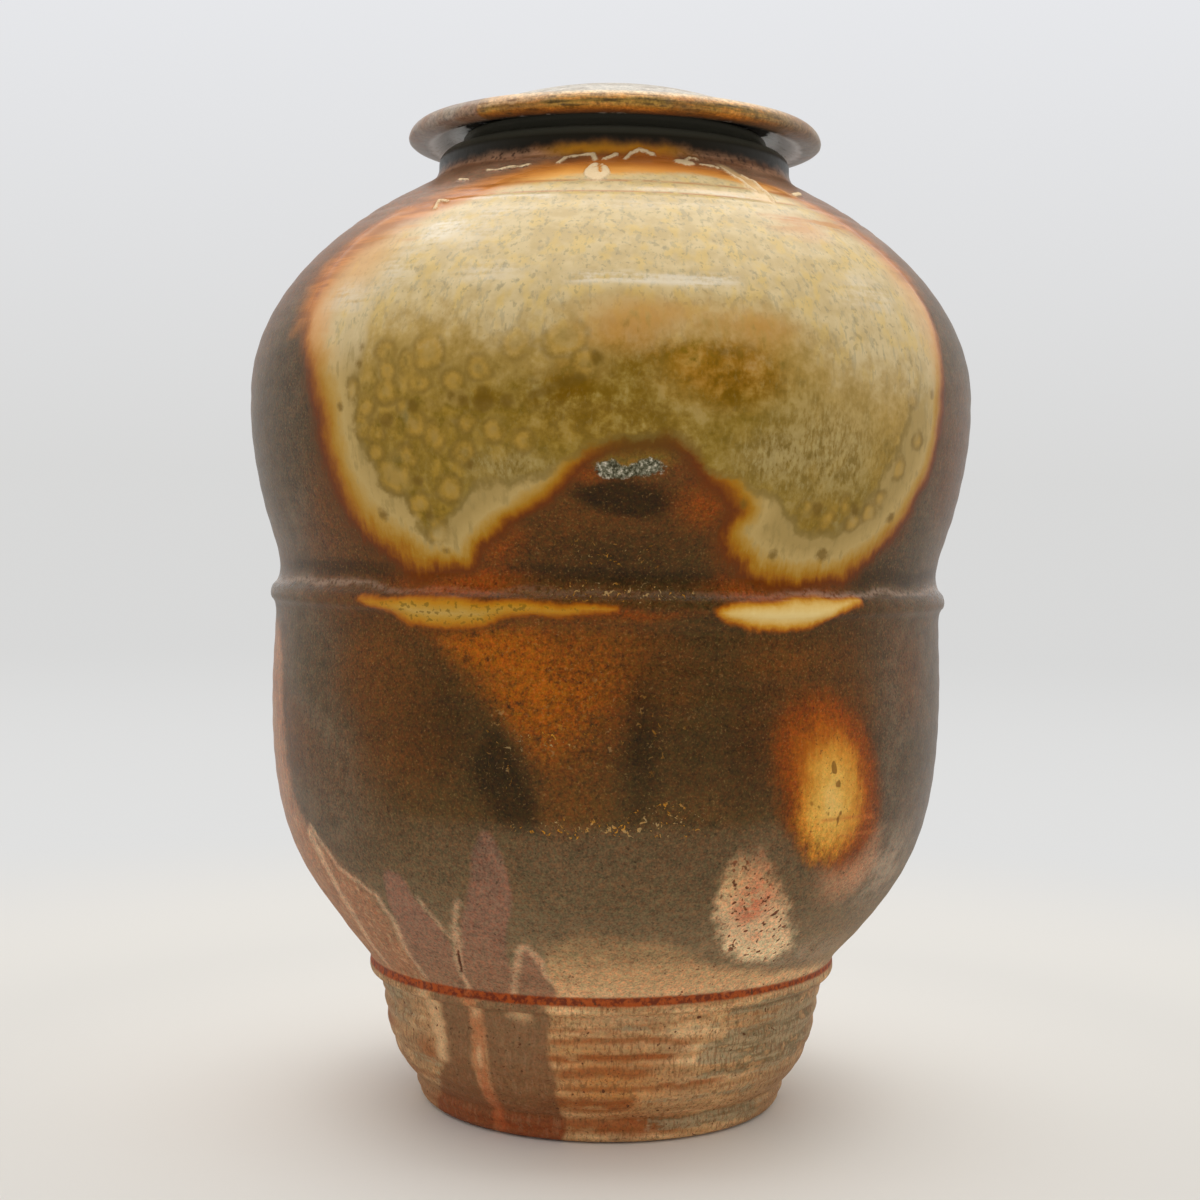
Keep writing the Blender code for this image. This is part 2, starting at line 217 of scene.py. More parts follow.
class Skin:
    """A turned surface as a grid: rows follow its outline and columns go round the axis."""

    def __init__(self, name, node, step, outside):
        self.name = name
        self.line = smooth_line(half_section(node), step)
        self.azimuth = (column_angles()[None, :] + 180) % 360 - 180
        self.radius, self.height = self.line[:, :1], self.line[:, 1:]
        self.along = np.cumsum([0] + list(np.hypot(*np.diff(self.line, axis=0).T)))[:, None]
        self.outside = outside(self.line)[:, None]
        shape = (len(self.line), self.azimuth.size)
        turn = np.radians(self.azimuth)
        level = np.broadcast_to(self.height, shape)
        self.places = np.stack([self.radius * np.sin(turn), -self.radius * np.cos(turn), level], -1)
        # The edges of marks wander a little, in two sizes
        wander = 1.5 * drift(self.places, 14, 1) + 0.7 * drift(self.places, 5, 2)
        sway = 1.5 * drift(self.places, 14, 3) + 0.7 * drift(self.places, 5, 4)
        self.across = turn * np.ones(shape) + wander / np.maximum(self.radius, LEAST_RADIUS)
        self.up = self.along + sway
        self.push = np.zeros(shape)
        self.raised = np.zeros(shape)
        self.fields = {}
        inside_rows = np.flatnonzero(self.outside[:, 0])
        order = inside_rows[np.argsort(self.line[inside_rows, 1], kind="stable")]
        self.wall_height = self.line[order, 1]
        self.wall_along = self.along[order, 0]
        self.wall_radius = self.line[order, 0]

    def at_height(self, height):
        """Distance along the outline to this height on the outside."""
        return np.interp(height, self.wall_height, self.wall_along)

    def offsets(self, azimuth, height):
        """Distances in mm to the right of a place, and up from it along the outline."""
        turn = (self.across - math.radians(azimuth) + math.pi) % (2 * math.pi) - math.pi
        return turn * np.maximum(self.radius, LEAST_RADIUS), self.up - self.at_height(height)

    def spot(self, azimuth, height, half_width, half_height, lean=0):
        """Depth inside an oval mark. lean is how many mm its top moves right for each mm up."""
        across, up = self.offsets(azimuth, height)
        reach = np.hypot((across - lean * up) / half_width, up / half_height)
        depth = (1 - reach) * min(half_width, half_height)
        return np.where(self.outside, depth, FAR_OUTSIDE)

    def glow(self, azimuth, height, half_width, half_height, lean=0):
        """1 in the middle of a soft oval mark, fading to 0 at its edge."""
        smaller = min(half_width, half_height)
        return ease(self.spot(azimuth, height, half_width, half_height, lean) / smaller, 0, 1)

    def hoop(self, azimuth, height, half_width, half_height):
        """1 along the middle of a soft level band, fading to 0 at its edges."""
        across, up = (np.abs(offset) for offset in self.offsets(azimuth, height))
        ends = ease(1 - across / half_width, 0, 0.35)
        return ends * ease(1 - up / half_height, 0, 0.7) * self.outside

    def glows(self, *marks):
        """Several glows together, up to 1. A mark has its strength last where that isn't 1."""
        return soft(*(math.prod(mark[4:]) * self.glow(*mark[:4]) for mark in marks))

    def hoops(self, *marks):
        """Several hoops together, up to 1. A mark has its strength last where that isn't 1."""
        return soft(*(math.prod(mark[4:]) * self.hoop(*mark[:4]) for mark in marks))

    def unrolled(self, places, margin, bend=np.array):
        """A line through places, which skin is near it, and where that skin lies beside it."""
        reach = float(np.interp(np.mean([h for _, h in places]), self.wall_height, self.wall_radius))
        line = bend(np.array([(math.radians(a) * reach, self.at_height(h)) for a, h in places]))
        low, high = line.min(0) - margin, line.max(0) + margin
        near = (self.up > low[1]) & (self.up < high[1]) & self.outside
        near &= (self.across * reach > low[0]) & (self.across * reach < high[0])
        return line, near, np.stack([self.across[near] * reach, self.up[near]], -1)

    def stroke(self, places, width):
        """Depth inside a brush stroke through these places."""
        line, near, spots = self.unrolled(places, 12)
        depth = np.full(self.push.shape, FAR_OUTSIDE)
        depth[near] = width / 2 - nearest(spots, line)
        return depth

    def strokes(self, *lines):
        """Depth inside any of several strokes, each given as its places and then its width."""
        return most(*(self.stroke(places, width) for *places, width in lines))

    def patch(self, places, margin=30):
        """Depth inside a closed shape with a smooth edge through these places."""
        line, near, spots = self.unrolled(places, margin, closed_curve)
        depth = np.full(self.push.shape, -float(margin))
        depth[near] = np.maximum(nearest(spots, line) * np.where(within(spots, line), 1, -1), -margin)
        return depth

    def build(self, material, body):
        """Makes the piece, with its fields as attributes, and lets it ride on its body."""
        tangent = np.gradient(self.line, axis=0)
        tangent /= np.hypot(*tangent.T)[:, None]
        radius = self.radius + self.push * tangent[:, 1:]
        height = self.height - self.push * tangent[:, :1] + self.raised
        radius = np.clip(radius, 0, cad_high.x / MM - EDGE_GAP)
        height = np.clip(height, 0, cad_high.z / MM)
        turn = np.radians(self.azimuth)
        grid = np.stack([radius * np.sin(turn), -radius * np.cos(turn), height], -1)[1:-1]
        rows, columns = grid.shape[:2]
        ends = np.array([(0, 0, self.line[0, 1]), (0, 0, self.line[-1, 1])])
        corners = np.vstack([grid.reshape(-1, 3), ends]) * MM
        index = np.arange(rows * columns).reshape(rows, columns)
        ahead = np.roll(index, -1, axis=1)
        quads = np.stack([index[:-1], ahead[:-1], ahead[1:], index[1:]], -1).reshape(-1, 4)
        first, last = rows * columns, rows * columns + 1
        caps = [(first, ahead[0, c], index[0, c]) for c in range(columns)]
        caps += [(last, index[-1, c], ahead[-1, c]) for c in range(columns)]
        mesh = bpy.data.meshes.new(self.name)
        mesh.from_pydata(corners.tolist(), [], quads.tolist() + caps)
        mesh.shade_smooth()
        for name, values in self.fields.items():
            values = np.broadcast_to(values, self.push.shape)
            flat = np.concatenate([values[1:-1].ravel(), [values[0, 0], values[-1, 0]]])
            attribute = mesh.attributes.new(name, "FLOAT", "POINT")
            attribute.data.foreach_set("value", flat.astype(np.float32))
        mesh.materials.append(material)
        piece = bpy.data.objects.new(self.name, mesh)
        bpy.context.scene.collection.objects.link(piece)
        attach(piece, body)
        return piece


def nearest(spots, line):
    """Distance from each spot to a line through points."""
    best = np.full(len(spots), 1e9)
    for start, end in zip(line, line[1:]):
        run = end - start
        share = np.clip((spots - start) @ run / max(run @ run, 1e-9), 0, 1)
        best = np.minimum(best, np.hypot(*(spots - start - share[:, None] * run).T))
    return best


def within(spots, line):
    """Whether each spot lies inside a closed line."""
    inside = np.zeros(len(spots), bool)
    for start, end in zip(line, line[1:]):
        crosses = (start[1] > spots[:, 1]) != (end[1] > spots[:, 1])
        rise = end[1] - start[1] if end[1] != start[1] else 1e-9
        inside ^= crosses & (spots[:, 0] < (end[0] - start[0]) * (spots[:, 1] - start[1]) / rise + start[0])
    return inside


def closed_curve(points, steps=3):
    """A closed smooth line through points, with its first point repeated at the end."""
    before, after, beyond = np.roll(points, 1, 0), np.roll(points, -1, 0), np.roll(points, -2, 0)
    slope = after - before
    bend = 2 * before - 5 * points + 4 * after - beyond
    twist = 3 * points - before - 3 * after + beyond
    shares = [step / steps for step in range(steps)]
    rows = [0.5 * (2 * points + t * slope + t * t * bend + t**3 * twist) for t in shares]
    line = np.stack(rows, 1).reshape(-1, 2)
    return np.vstack([line, line[:1]])


def most(*depths):
    """Depth inside any of several marks."""
    return np.maximum.reduce(depths)


# Shader writing

def linear(shade):
    """A colour for a shader. Three numbers are as it looks on screen, from 0 to 255."""
    if len(shade) == 4:
        return tuple(shade)
    shares = [value / 255 for value in shade]
    return (*(v / 12.92 if v < 0.0404 else ((v + 0.055) / 1.055) ** 2.4 for v in shares), 1.0)


class Paint:
    """Writes one material's nodes. Each call adds a node and gives its output."""

    def __init__(self, name):
        self.material = bpy.data.materials.new(name)
        self.material.use_nodes = True
        self.tree = self.material.node_tree
        self.shader = self.tree.nodes["Principled BSDF"]
        self.place = self.add("ShaderNodeTexCoord").outputs["Object"]

    def add(self, kind, **settings):
        node = self.tree.nodes.new(kind)
        for key, value in settings.items():
            setattr(node, key, value)
        return node

    def feed(self, socket, value):
        """Feeds a socket with another one, a field by its name, a colour or a number."""
        if isinstance(value, str):
            value = self.add("ShaderNodeAttribute", attribute_name=value).outputs["Fac"]
        if isinstance(value, bpy.types.NodeSocket):
            self.tree.links.new(value, socket)
        else:
            socket.default_value = linear(value) if isinstance(value, tuple) else value

    def calc(self, operation, *values):
        node = self.add("ShaderNodeMath", operation=operation)
        for socket, value in zip(node.inputs, values):
            self.feed(socket, value)
        return node.outputs[0]

    def plus(self, *values):
        total = values[0]
        for value in values[1:]:
            total = self.calc("ADD", total, value)
        return total

    def times(self, *values):
        total = values[0]
        for value in values[1:]:
            total = self.calc("MULTIPLY", total, value)
        return total

    def stir(self, value, **spans):
        """A value with noises added, each moved to lie about zero and scaled by its span."""
        for name, span in spans.items():
            value = self.plus(value, self.times(self.plus(getattr(self, name), -0.5), span))
        return value

    def ridge(self, value, middle, half_width):
        """1 where value is at middle, falling smoothly to 0 at half_width on either side."""
        away = self.calc("ABSOLUTE", self.plus(value, -middle))
        return self.ease(away, half_width, 0.0)

    def ease(self, value, low, high, bottom=0.0, top=1.0):
        node = self.add("ShaderNodeMapRange", interpolation_type="SMOOTHSTEP")
        for socket, item in zip(node.inputs, (value, low, high, bottom, top)):
            self.feed(socket, item)
        return node.outputs[0]

    def stretched(self, sideways, upwards):
        """Places scaled apart, so that a pattern runs along or across the axis."""
        node = self.add("ShaderNodeMapping")
        self.feed(node.inputs["Vector"], self.place)
        node.inputs["Scale"].default_value = (sideways, sideways, upwards)
        return node.outputs[0]

    def noise(self, size, detail=2.0, roughness=0.5, stretch=(1.0, 1.0), twist=0.0):
        """Noise from 0 to 1, with features of this size in mm."""
        node = self.add("ShaderNodeTexNoise")
        self.feed(node.inputs["Vector"], self.place if stretch == (1.0, 1.0) else self.stretched(*stretch))
        node.inputs["Scale"].default_value = 1 / (size * MM)
        node.inputs["Detail"].default_value = detail
        node.inputs["Roughness"].default_value = roughness
        node.inputs["Distortion"].default_value = twist
        return node.outputs["Fac"]

    def ramp(self, value, stops):
        """Colours along value, with each stop as its position, in any range, and its colour."""
        low, high = stops[0][0], stops[-1][0]
        share = self.add("ShaderNodeMapRange")
        for socket, item in zip(share.inputs, (value, low, high, 0.0, 1.0)):
            self.feed(socket, item)
        node = self.add("ShaderNodeValToRGB")
        band = node.color_ramp
        while len(band.elements) > 1:
            band.elements.remove(band.elements[-1])
        band.elements[0].position = 0.0
        band.elements[0].color = linear(stops[0][1:])
        for position, *shade in stops[1:]:
            band.elements.new((position - low) / (high - low)).color = linear(shade)
        self.feed(node.inputs[0], share.outputs[0])
        return node.outputs[0]

    def mix(self, share, first, second, blend="MIX"):
        node = self.add("ShaderNodeMix", data_type="RGBA", blend_type=blend)
        self.feed(node.inputs["Factor"], share)
        self.feed(node.inputs[6], first)
        self.feed(node.inputs[7], second)
        return node.outputs[2]

    def over(self, base, shade, *shares):
        """base with shade laid over it, as strongly as the product of the shares."""
        return self.mix(self.times(*shares), base, shade)

    def blend(self, share, first, second):
        """A number that goes from first to second."""
        node = self.add("ShaderNodeMix", data_type="FLOAT")
        self.feed(node.inputs[0], share)
        self.feed(node.inputs[2], first)
        self.feed(node.inputs[3], second)
        return node.outputs[0]

    def finish(self, base, roughness, height):
        """height is in mm."""
        self.feed(self.shader.inputs["Base Color"], base)
        self.feed(self.shader.inputs["Roughness"], roughness)
        bump = self.add("ShaderNodeBump")
        bump.inputs["Strength"].default_value = 1.0
        bump.inputs["Distance"].default_value = MM
        self.feed(bump.inputs["Height"], height)
        self.feed(self.shader.inputs["Normal"], bump.outputs[0])
        return self.material


# Marks of the firing on the jar

ASH_EDGE = [
    (-53, 319), (-52.5, 308), (-50.5, 295), (-47.5, 282), (-45.6, 270), (-45, 258), (-44, 247),
    (-42.3, 238), (-40, 230), (-36.5, 223.5), (-32.5, 218.5), (-30, 215.5), (-25, 215), (-21, 216),
    (-19.5, 221), (-16.5, 226.5), (-12.5, 233.5), (-8.5, 239), (-6, 244.5), (-4.2, 250), (-1, 254.5),
    (3.5, 257.5), (8, 259.5), (11, 258), (13, 253), (14.6, 247), (17.5, 241), (19.2, 235),
    (18.2, 229.5), (18.5, 223), (21, 217), (25, 213), (30, 211), (36, 212.5), (42, 216.5),
    (46.5, 223), (50, 231.5), (52.5, 241), (55, 252), (56.2, 266), (57, 280), (58, 295),
    (58.8, 308), (58, 321), (55.5, 331), (52.5, 341), (47.5, 348), (41, 353), (34, 356), (28, 358),
    (16, 360.5), (3, 360.5), (-9, 359), (-17, 356.5), (-25, 351.5), (-31, 347), (-36, 344.5),
    (-42, 342.5), (-48, 341), (-52, 332),
]
LEFT_CORE = [
    (-34, 318), (-37, 304), (-36.5, 293), (-37.2, 283), (-38, 272), (-38, 261), (-36.8, 254.5),
    (-35.2, 248), (-34.5, 241), (-31, 238), (-30.2, 232), (-28, 226), (-24.5, 229), (-22.4, 235),
    (-20, 240), (-15, 242.7), (-10, 244.5), (-7, 247.5), (-4.6, 251.5), (1, 258), (12, 263),
    (20, 290), (16, 325), (-10, 332), (-28, 328),
]
RIGHT_CORE = [
    (0, 262), (10, 259), (13, 249), (15.2, 247.3), (17.5, 245.5), (19.5, 243), (21, 240.8), (24, 239),
    (26, 234.5), (28, 231), (29, 228), (31, 227), (33.4, 227.6), (36, 227), (37, 230), (37.8, 233),
    (40, 234.3), (40.8, 238), (42.2, 241), (43.2, 246), (44.2, 251), (45.6, 256), (46.6, 262),
    (47.5, 268), (48.2, 274), (49.2, 277), (50.3, 283), (50.5, 296), (49, 312), (42, 326), (24, 330),
    (4, 320),
]
# Round cells in the glaze, as (azimuth, height, radius)
CELLS = [
    (-23.6, 241.5, 4.6), (-32.4, 245, 6.4), (-34.5, 259, 3.2), (-37, 261, 3.6), (-36, 267.6, 3.8),
    (-32.5, 273, 4.6), (-32.6, 280, 3.8), (-28.2, 262, 4.4), (-25, 257.6, 4.4), (-28.8, 235, 4.2),
    (-26, 226.5, 4.4), (-25.5, 286, 5.6), (-29.5, 267.6, 2.4), (-6.6, 290, 6.6), (-4, 281, 4.6),
    (-8, 297.5, 5.2), (-30, 251, 4.0), (-20.5, 252, 4.4), (-16, 259, 4.0), (-20, 262, 3.4),
    (-12, 256, 3.6), (-29, 283, 3.4), (-18, 281, 4.4), (-13, 289, 5.0), (-22, 276, 4.0),
    (-27, 276, 3.6), (42, 233.5, 3.4), (46.6, 250.5, 3.4), (50.3, 261, 2.4), (29, 236, 2.6),
    (33.5, 231.5, 3.2), (38.6, 231, 2.8), (44.2, 239.5, 2.6), (46.4, 284, 3.0), (48.6, 275.6, 2.4),
    (-33, 287, 3.6), (-38.6, 273.6, 3.0), (36.5, 236.5, 2.6), (-16, 296, 4.0), (-34.8, 252.5, 3.2),
]
DARK_SPOTS = [
    (-41.5, 268.8, 1.8), (-37.5, 282.5, 1.4), (-37.5, 288, 1.2), (-27.3, 231.5, 1.8),
    (-32.5, 263.5, 2.6), (31.2, 235, 2.6), (47.2, 232, 2.0), (34.2, 219.5, 2.4), (25.6, 219.5, 1.8),
    (18.8, 237.4, 1.4), (54, 278, 1.8), (-25, 219.5, 1.3), (-35.2, 231.5, 1.8), (38.5, 235, 1.8),
    (-17.7, 268.6, 3.6), (-17.6, 272.3, 2.2), (-14, 269.6, 2.6), (-20.6, 269.6, 1.8),
    (-28, 267.4, 2.2), (-22.5, 271, 1.6), (-2.4, 283, 2.2), (-28.5, 243.5, 2.0), (-19.5, 247, 1.6),
]


def deepest(s, spots):
    """Depth inside the nearest of many round marks."""
    return most(*(s.spot(azimuth, height, radius, radius) for azimuth, height, radius in spots))


def soft(*masks):
    """Several soft masks together, up to 1."""
    return np.clip(sum(masks), 0, 1)


def ash_marks(s):
    """The large ash-glazed patch on the upper swelling, and the pale pools on the bead."""
    f = s.fields
    arch_side = ease(s.azimuth, -31, -22) * ease(-s.azimuth, -6, 2) * ease(-s.height, -276, -262)
    f["ash"] = s.patch(ASH_EDGE) * (1 + 0.7 * ease(s.azimuth, 6, 34) + 0.9 * arch_side)
    f["core"] = most(s.patch(LEFT_CORE, margin=20), s.patch(RIGHT_CORE, margin=20))
    f["cell"] = deepest(s, CELLS)
    f["spots"] = most(deepest(s, DARK_SPOTS), s.stroke([(-10.4, 271.4), (-8, 274), (-4.4, 276)], 3.4))
    left_pool = [
        (-41, 201.8), (-36, 203), (-30, 203.6), (-20, 202.8), (-10, 202.2), (1, 200.8), (-6, 198.8),
        (-14, 198), (-19, 194.8), (-26, 194.2), (-31, 195), (-34.5, 199),
    ]
    right_pool = [
        (16, 199), (18, 202.4), (26, 204.2), (35, 205), (42, 204.6), (38, 200.5), (32, 196.3),
        (26, 194.4), (20, 195.6),
    ]
    f["pool"] = most(s.patch(left_pool, margin=12), s.patch(right_pool, margin=12))
    f["pool_left"] = ease(-s.azimuth, -8, 6)
    f["amber"] = s.glows(
        (-24, 209, 36, 9, 1.7), (27, 208, 36, 9, 1.8), (0, 199, 46, 3.5, 0.9), (14, 238, 17, 16),
        (-4.5, 246, 13, 7), (-17, 222, 16, 12, 0.9), (18, 222, 10, 14, 0.7), (50, 240, 12, 26, 0.5),
        (8, 250, 20, 6, 0.3),
    )
    f["rich"] = s.glows((15, 282, 36, 19, 1.3), (2, 292, 26, 14, 0.8), (-6, 280, 16, 12, 0.5))
    f["olive"] = s.glows(
        (17.5, 277, 22, 12, 1.2), (-7, 273, 18, 7, 0.8), (-18, 270, 16, 6, 0.6), (0, 266, 46, 18, 0.6),
        (3, 282, 20, 12, 0.5),
    )
    f["gold"] = s.glows(
        (-30, 262, 34, 26), (-27, 230, 20, 18), (-8, 262, 40, 14, 0.8), (33, 233, 26, 10),
        (43, 249, 12, 14, 0.8), (46, 275, 22, 30, 0.8), (-24, 300, 30, 20, 0.5), (30, 285, 30, 16, 0.7),
    )
    f["ashen"] = s.glows((33, 258, 40, 36), (22, 252, 22, 14, 0.7), (-14, 247, 26, 10, 0.7))
    f["curds"] = soft(
        s.glows(
            (-28, 262, 44, 46, 1.2), (-10, 286, 26, 22), (-27, 230, 24, 20, 0.8), (33, 231, 26, 9),
            (46, 254, 14, 34, 0.8),
        ),
        0.25,
    )
    f["tan"] = s.glows((5, 300, 42, 12), (21, 296, 24, 13, 0.9), (0, 292, 26, 10, 0.7))
    f["rise"] = 15 * ease(s.azimuth, 22, 36) - 8 * s.glow(-30, 290, 34, 40) + 3 * ease(-s.azimuth, 10, 30)
    f["rise"] += 5 * s.glow(-13, 300, 20, 24)
    left_scorch = [
        (-55, 298), (-53.5, 316), (-49.5, 329), (-44.5, 337.5), (-37, 344.8), (-29, 350.5), (-18, 356.5),
    ]
    f["scorch"] = most(
        s.stroke(left_scorch, 16) - 9 * ease(-s.height, -320, -292),
        s.stroke([(-8, 358.5), (4, 360), (16, 360), (27, 357.8), (36, 354)], 5),
        s.stroke([(40, 352.5), (46, 347.6), (51, 342), (55, 334), (58, 322)], 9),
    )
    # Pale glaze, and painted highlights: white spots and thin bright bands where lamps are mirrored on the
    # shoulder
    f["milk"] = soft(
        s.glows(
            (-31, 331, 13, 9, 1.3), (-21, 337, 22, 6, 0.6), (6, 340, 44, 6, 0.35), (-43, 307, 20, 12, 0.6),
            (-35, 318, 14, 18, 0.6), (42, 312, 24, 16, 0.5), (-25, 328, 24, 14, 0.5),
            (-19, 314, 24, 8, 0.5),
        ),
        s.hoops((-21, 343.4, 20, 2.6, 0.8), (18, 346.8, 30, 2.0), (6, 311.4, 34, 3.6, 0.9)),
    )
    f["peach"] = s.glows((-47, 322, 30, 34, 1.3), (-50, 300, 14, 34), (56, 318, 16, 50))
    f["burnt"] = soft(
        s.glows((-42, 335, 20, 8), (47, 338, 18, 7), (35, 335, 22, 12, 0.8)),
        s.hoops((-41, 328.6, 16, 2.4, 0.8), (37, 338.6, 20, 2.2, 0.6)),
    )


RUST_EDGE = [
    (-31, 194), (-27, 187), (-22, 176), (-17, 166), (-13, 158), (-11, 148), (-10, 138), (-9.6, 127),
    (-1.5, 127), (0.5, 138), (2, 150), (4, 166), (5.5, 182), (4, 195), (-14, 196),
]
DARK_EDGE = [
    (-18, 157.5), (-16, 158), (-13.5, 151), (-11.3, 140), (-10, 127), (-15, 125), (-18, 134), (-20, 146),
]
TAN_EDGE = [
    (-13, 60), (-11.5, 72), (-8, 83), (-3, 87), (4, 86), (11, 84), (16, 79), (22, 73), (30, 69),
    (42, 65.5), (60, 62), (60, 58), (-12, 58),
]
PINK_EDGE = [
    (20.5, 115), (23, 117), (25.6, 116), (27.6, 109), (29.8, 101), (32.6, 93), (36.4, 85), (39.5, 78),
    (38, 73.5), (34, 72), (28, 75), (23.4, 81), (20.8, 90), (19.4, 100), (19.6, 109),
]
LEFT_EDGE = [
    (-44, 58), (-44, 76), (-45, 95), (-51, 104), (-58, 113), (-63, 126), (-66, 146), (-68, 178),
    (-76, 190), (-86, 180), (-92, 146), (-98, 110), (-102, 58),
]
FLAMES = [
    [
        (-18.5, 123), (-16.4, 118), (-15.2, 105), (-16, 92), (-18.8, 77), (-19.6, 60), (-30.5, 60),
        (-29, 72), (-26.6, 84), (-24, 96), (-21.6, 110), (-20, 119),
    ],
    [
        (-38.5, 105), (-35.2, 103), (-33.6, 95), (-31.2, 87), (-30.2, 77), (-31.6, 60), (-44, 60),
        (-43.4, 78), (-41.2, 91), (-39.8, 100),
    ],
    [(-14.4, 79), (-12.8, 76), (-11.4, 69), (-10.4, 60), (-19, 60), (-17.4, 70), (-15.6, 77)],
]
BACK_FLAMES = [
    [
        (148, 132), (151, 120), (153, 104), (157, 88), (158, 60), (140, 60), (142, 78), (144, 98),
        (146, 118),
    ],
    [(164, 100), (167, 90), (168, 76), (168, 60), (160, 60), (161, 78), (163, 92)],
    [
        (-122, 118), (-118, 106), (-117, 90), (-114, 60), (-134, 60), (-131, 76), (-127, 96),
        (-125, 110),
    ],
]


def belly_marks(s):
    """Rust, flashing and bare clay on the lower swelling and the foot."""
    f = s.fields
    rust = ease(s.patch(RUST_EDGE), -7, 6)
    f["rust"] = rust * soft(0.8 * s.glow(-19, 187, 30, 13), 0.25, 0.9 * s.glow(-9, 171, 40, 34, 0.25))
    f["flare"] = s.spot(37.4, 140, 25, 33, -0.3)
    f["flare_heart"] = s.spot(37.4, 133.5, 12.5, 18, -0.08)
    f["flare_cut"] = s.hoops((42, 126.5, 18, 1.2), (45, 120, 14, 1.0, 0.7))
    f["tail"] = s.glows((45, 109, 24, 22), (44, 120, 22, 12, 0.6))
    f["dark"] = soft(
        s.glows(
            (5, 155, 11, 42, 0.8), (22, 152, 15, 34, 0.5), (0, 219, 46, 14, 0.5), (-26, 160, 22, 26, 0.45),
            (3.5, 256, 28, 8, 0.6), (126, 170, 46, 70, 0.4), (-118, 250, 40, 50, 0.4),
        ),
        # The level band along the crease above the bead is painted shade
        s.hoops((0, 211.5, 200, 4, 0.6)), 0.9 * ease(s.patch(DARK_EDGE), -4.5, 4.5),
        1.1 * ease(s.spot(2.2, 237.8, 18, 6.6), -1.4, 2.6),
    )
    wavy = s.height + 1.5 * drift(s.places, 9, 12)
    f["matte"] = ease(-wavy, -130, -123) * ease(s.height, 96, 118) * ease(-np.abs(s.azimuth - 6), -52, -28)
    f["matte"] *= s.outside
    f["warm"] = s.glows(
        (-146, 150, 70, 60, 0.7), (158, 262, 70, 46, 0.6), (96, 300, 50, 40, 0.7),
        (-100, 322, 60, 30, 0.5), (172, 196, 90, 16, 0.6), (28, 184, 34, 14, 0.8),
        (-38, 180, 26, 22, 0.5), (38, 166, 28, 16, 0.6), (-48, 236, 16, 30, 0.5),
    )
    f["olive_brown"] = s.glows((14, 168, 26, 34), (-22, 150, 20, 40, 0.5))
    # Greyer towards the sides as seen from the camera: partly the clay's tone, partly a painted sheen
    sides = ease(np.abs(s.azimuth), 38, 60) * (1 - 0.6 * ease(np.abs(s.azimuth), 96, 130))
    sides = sides * ease(s.height, 96, 120) * ease(-s.height, -330, -300)
    f["cool"] = soft(s.glows((-48, 130, 40, 46), (55, 150, 30, 60, 0.6)), sides) * s.outside
    f["pink"] = most(s.patch(PINK_EDGE, margin=12), s.spot(-158, 96, 13, 20, 0.3))
    f["pink_core"] = s.glows(
        (26.6, 101, 13, 23, 0.9), (24.6, 96, 9, 13, 0.6), (29, 84, 5, 4, 0.6), (-158, 99, 8, 14),
    )
    f["tan_clay"] = s.patch(TAN_EDGE, margin=16)
    f["left_clay"] = s.patch(LEFT_EDGE, margin=16)
    f["right_clay"] = s.glows((58, 103, 34, 26), (48, 72, 40, 12, 0.7))
    behind = most(*(s.patch(edge, margin=24) for edge in BACK_FLAMES))
    f["licks"] = most(*(s.patch(edge, margin=12) for edge in FLAMES), 0.2 * behind - 0.6)
    f["pale"] = s.strokes(
        ((-19.8, 60), (-18, 70), (-15.8, 78), (-14.3, 79.6), (-12.3, 75.5), (-10.7, 67), 1.7),
        ((-27.2, 86), (-28.4, 79), (-29.8, 71), (-31, 60), 2.0),
        ((-25, 97), (-26.4, 90), (-27.6, 84), 0.7), ((-33, 96), (-30.6, 87), (-28.9, 79), 0.8),
        ((-43.8, 94), (-43, 84), (-43.8, 72), (-43.6, 62), 2.0),
        ((-58.5, 112), (-56.5, 98), (-57.5, 80), (-60, 64), 4.5),
        ((-58, 116), (-52, 103), (-45, 95.4), 1.2), ((159.6, 60), (158.6, 76), (156.6, 90), 1.4),
        ((-113, 60), (-116, 80), 1.4),
    )
    f["split"] = s.stroke([(-28.9, 75.5), (-30.2, 67)], 0.9)


def arch_marks(s):
    """A dark line over the crust, with a thin olive film under it, and a painted highlight along the top of
    the bead.
    """
    f = s.fields
    line = [
        (-10.5, 246), (-7.4, 250.5), (-4, 255), (0, 258.4), (5, 260), (9.6, 258.6), (12.6, 253.6),
        (14.4, 247.4),
    ]
    f["arch"] = ease(s.stroke(line, 6.5), -2.5, 3.2)
    f["arch_top"] = s.glow(4, 258, 30, 14)
    f["film"] = s.glows((3.4, 251.8, 19, 6, 1.7), (-1, 250.8, 10, 4))
    # A painted highlight along the top of the bead, strongest towards the sides
    crest = s.stroke([(-100, 205.4), (-40, 206.2), (0, 206), (40, 206.2), (100, 205.4)], 1.6)
    f["crest"] = ease(crest, -0.9, 0.8) * (0.25 + 0.75 * ease(np.abs(s.azimuth + 4), 22, 46))


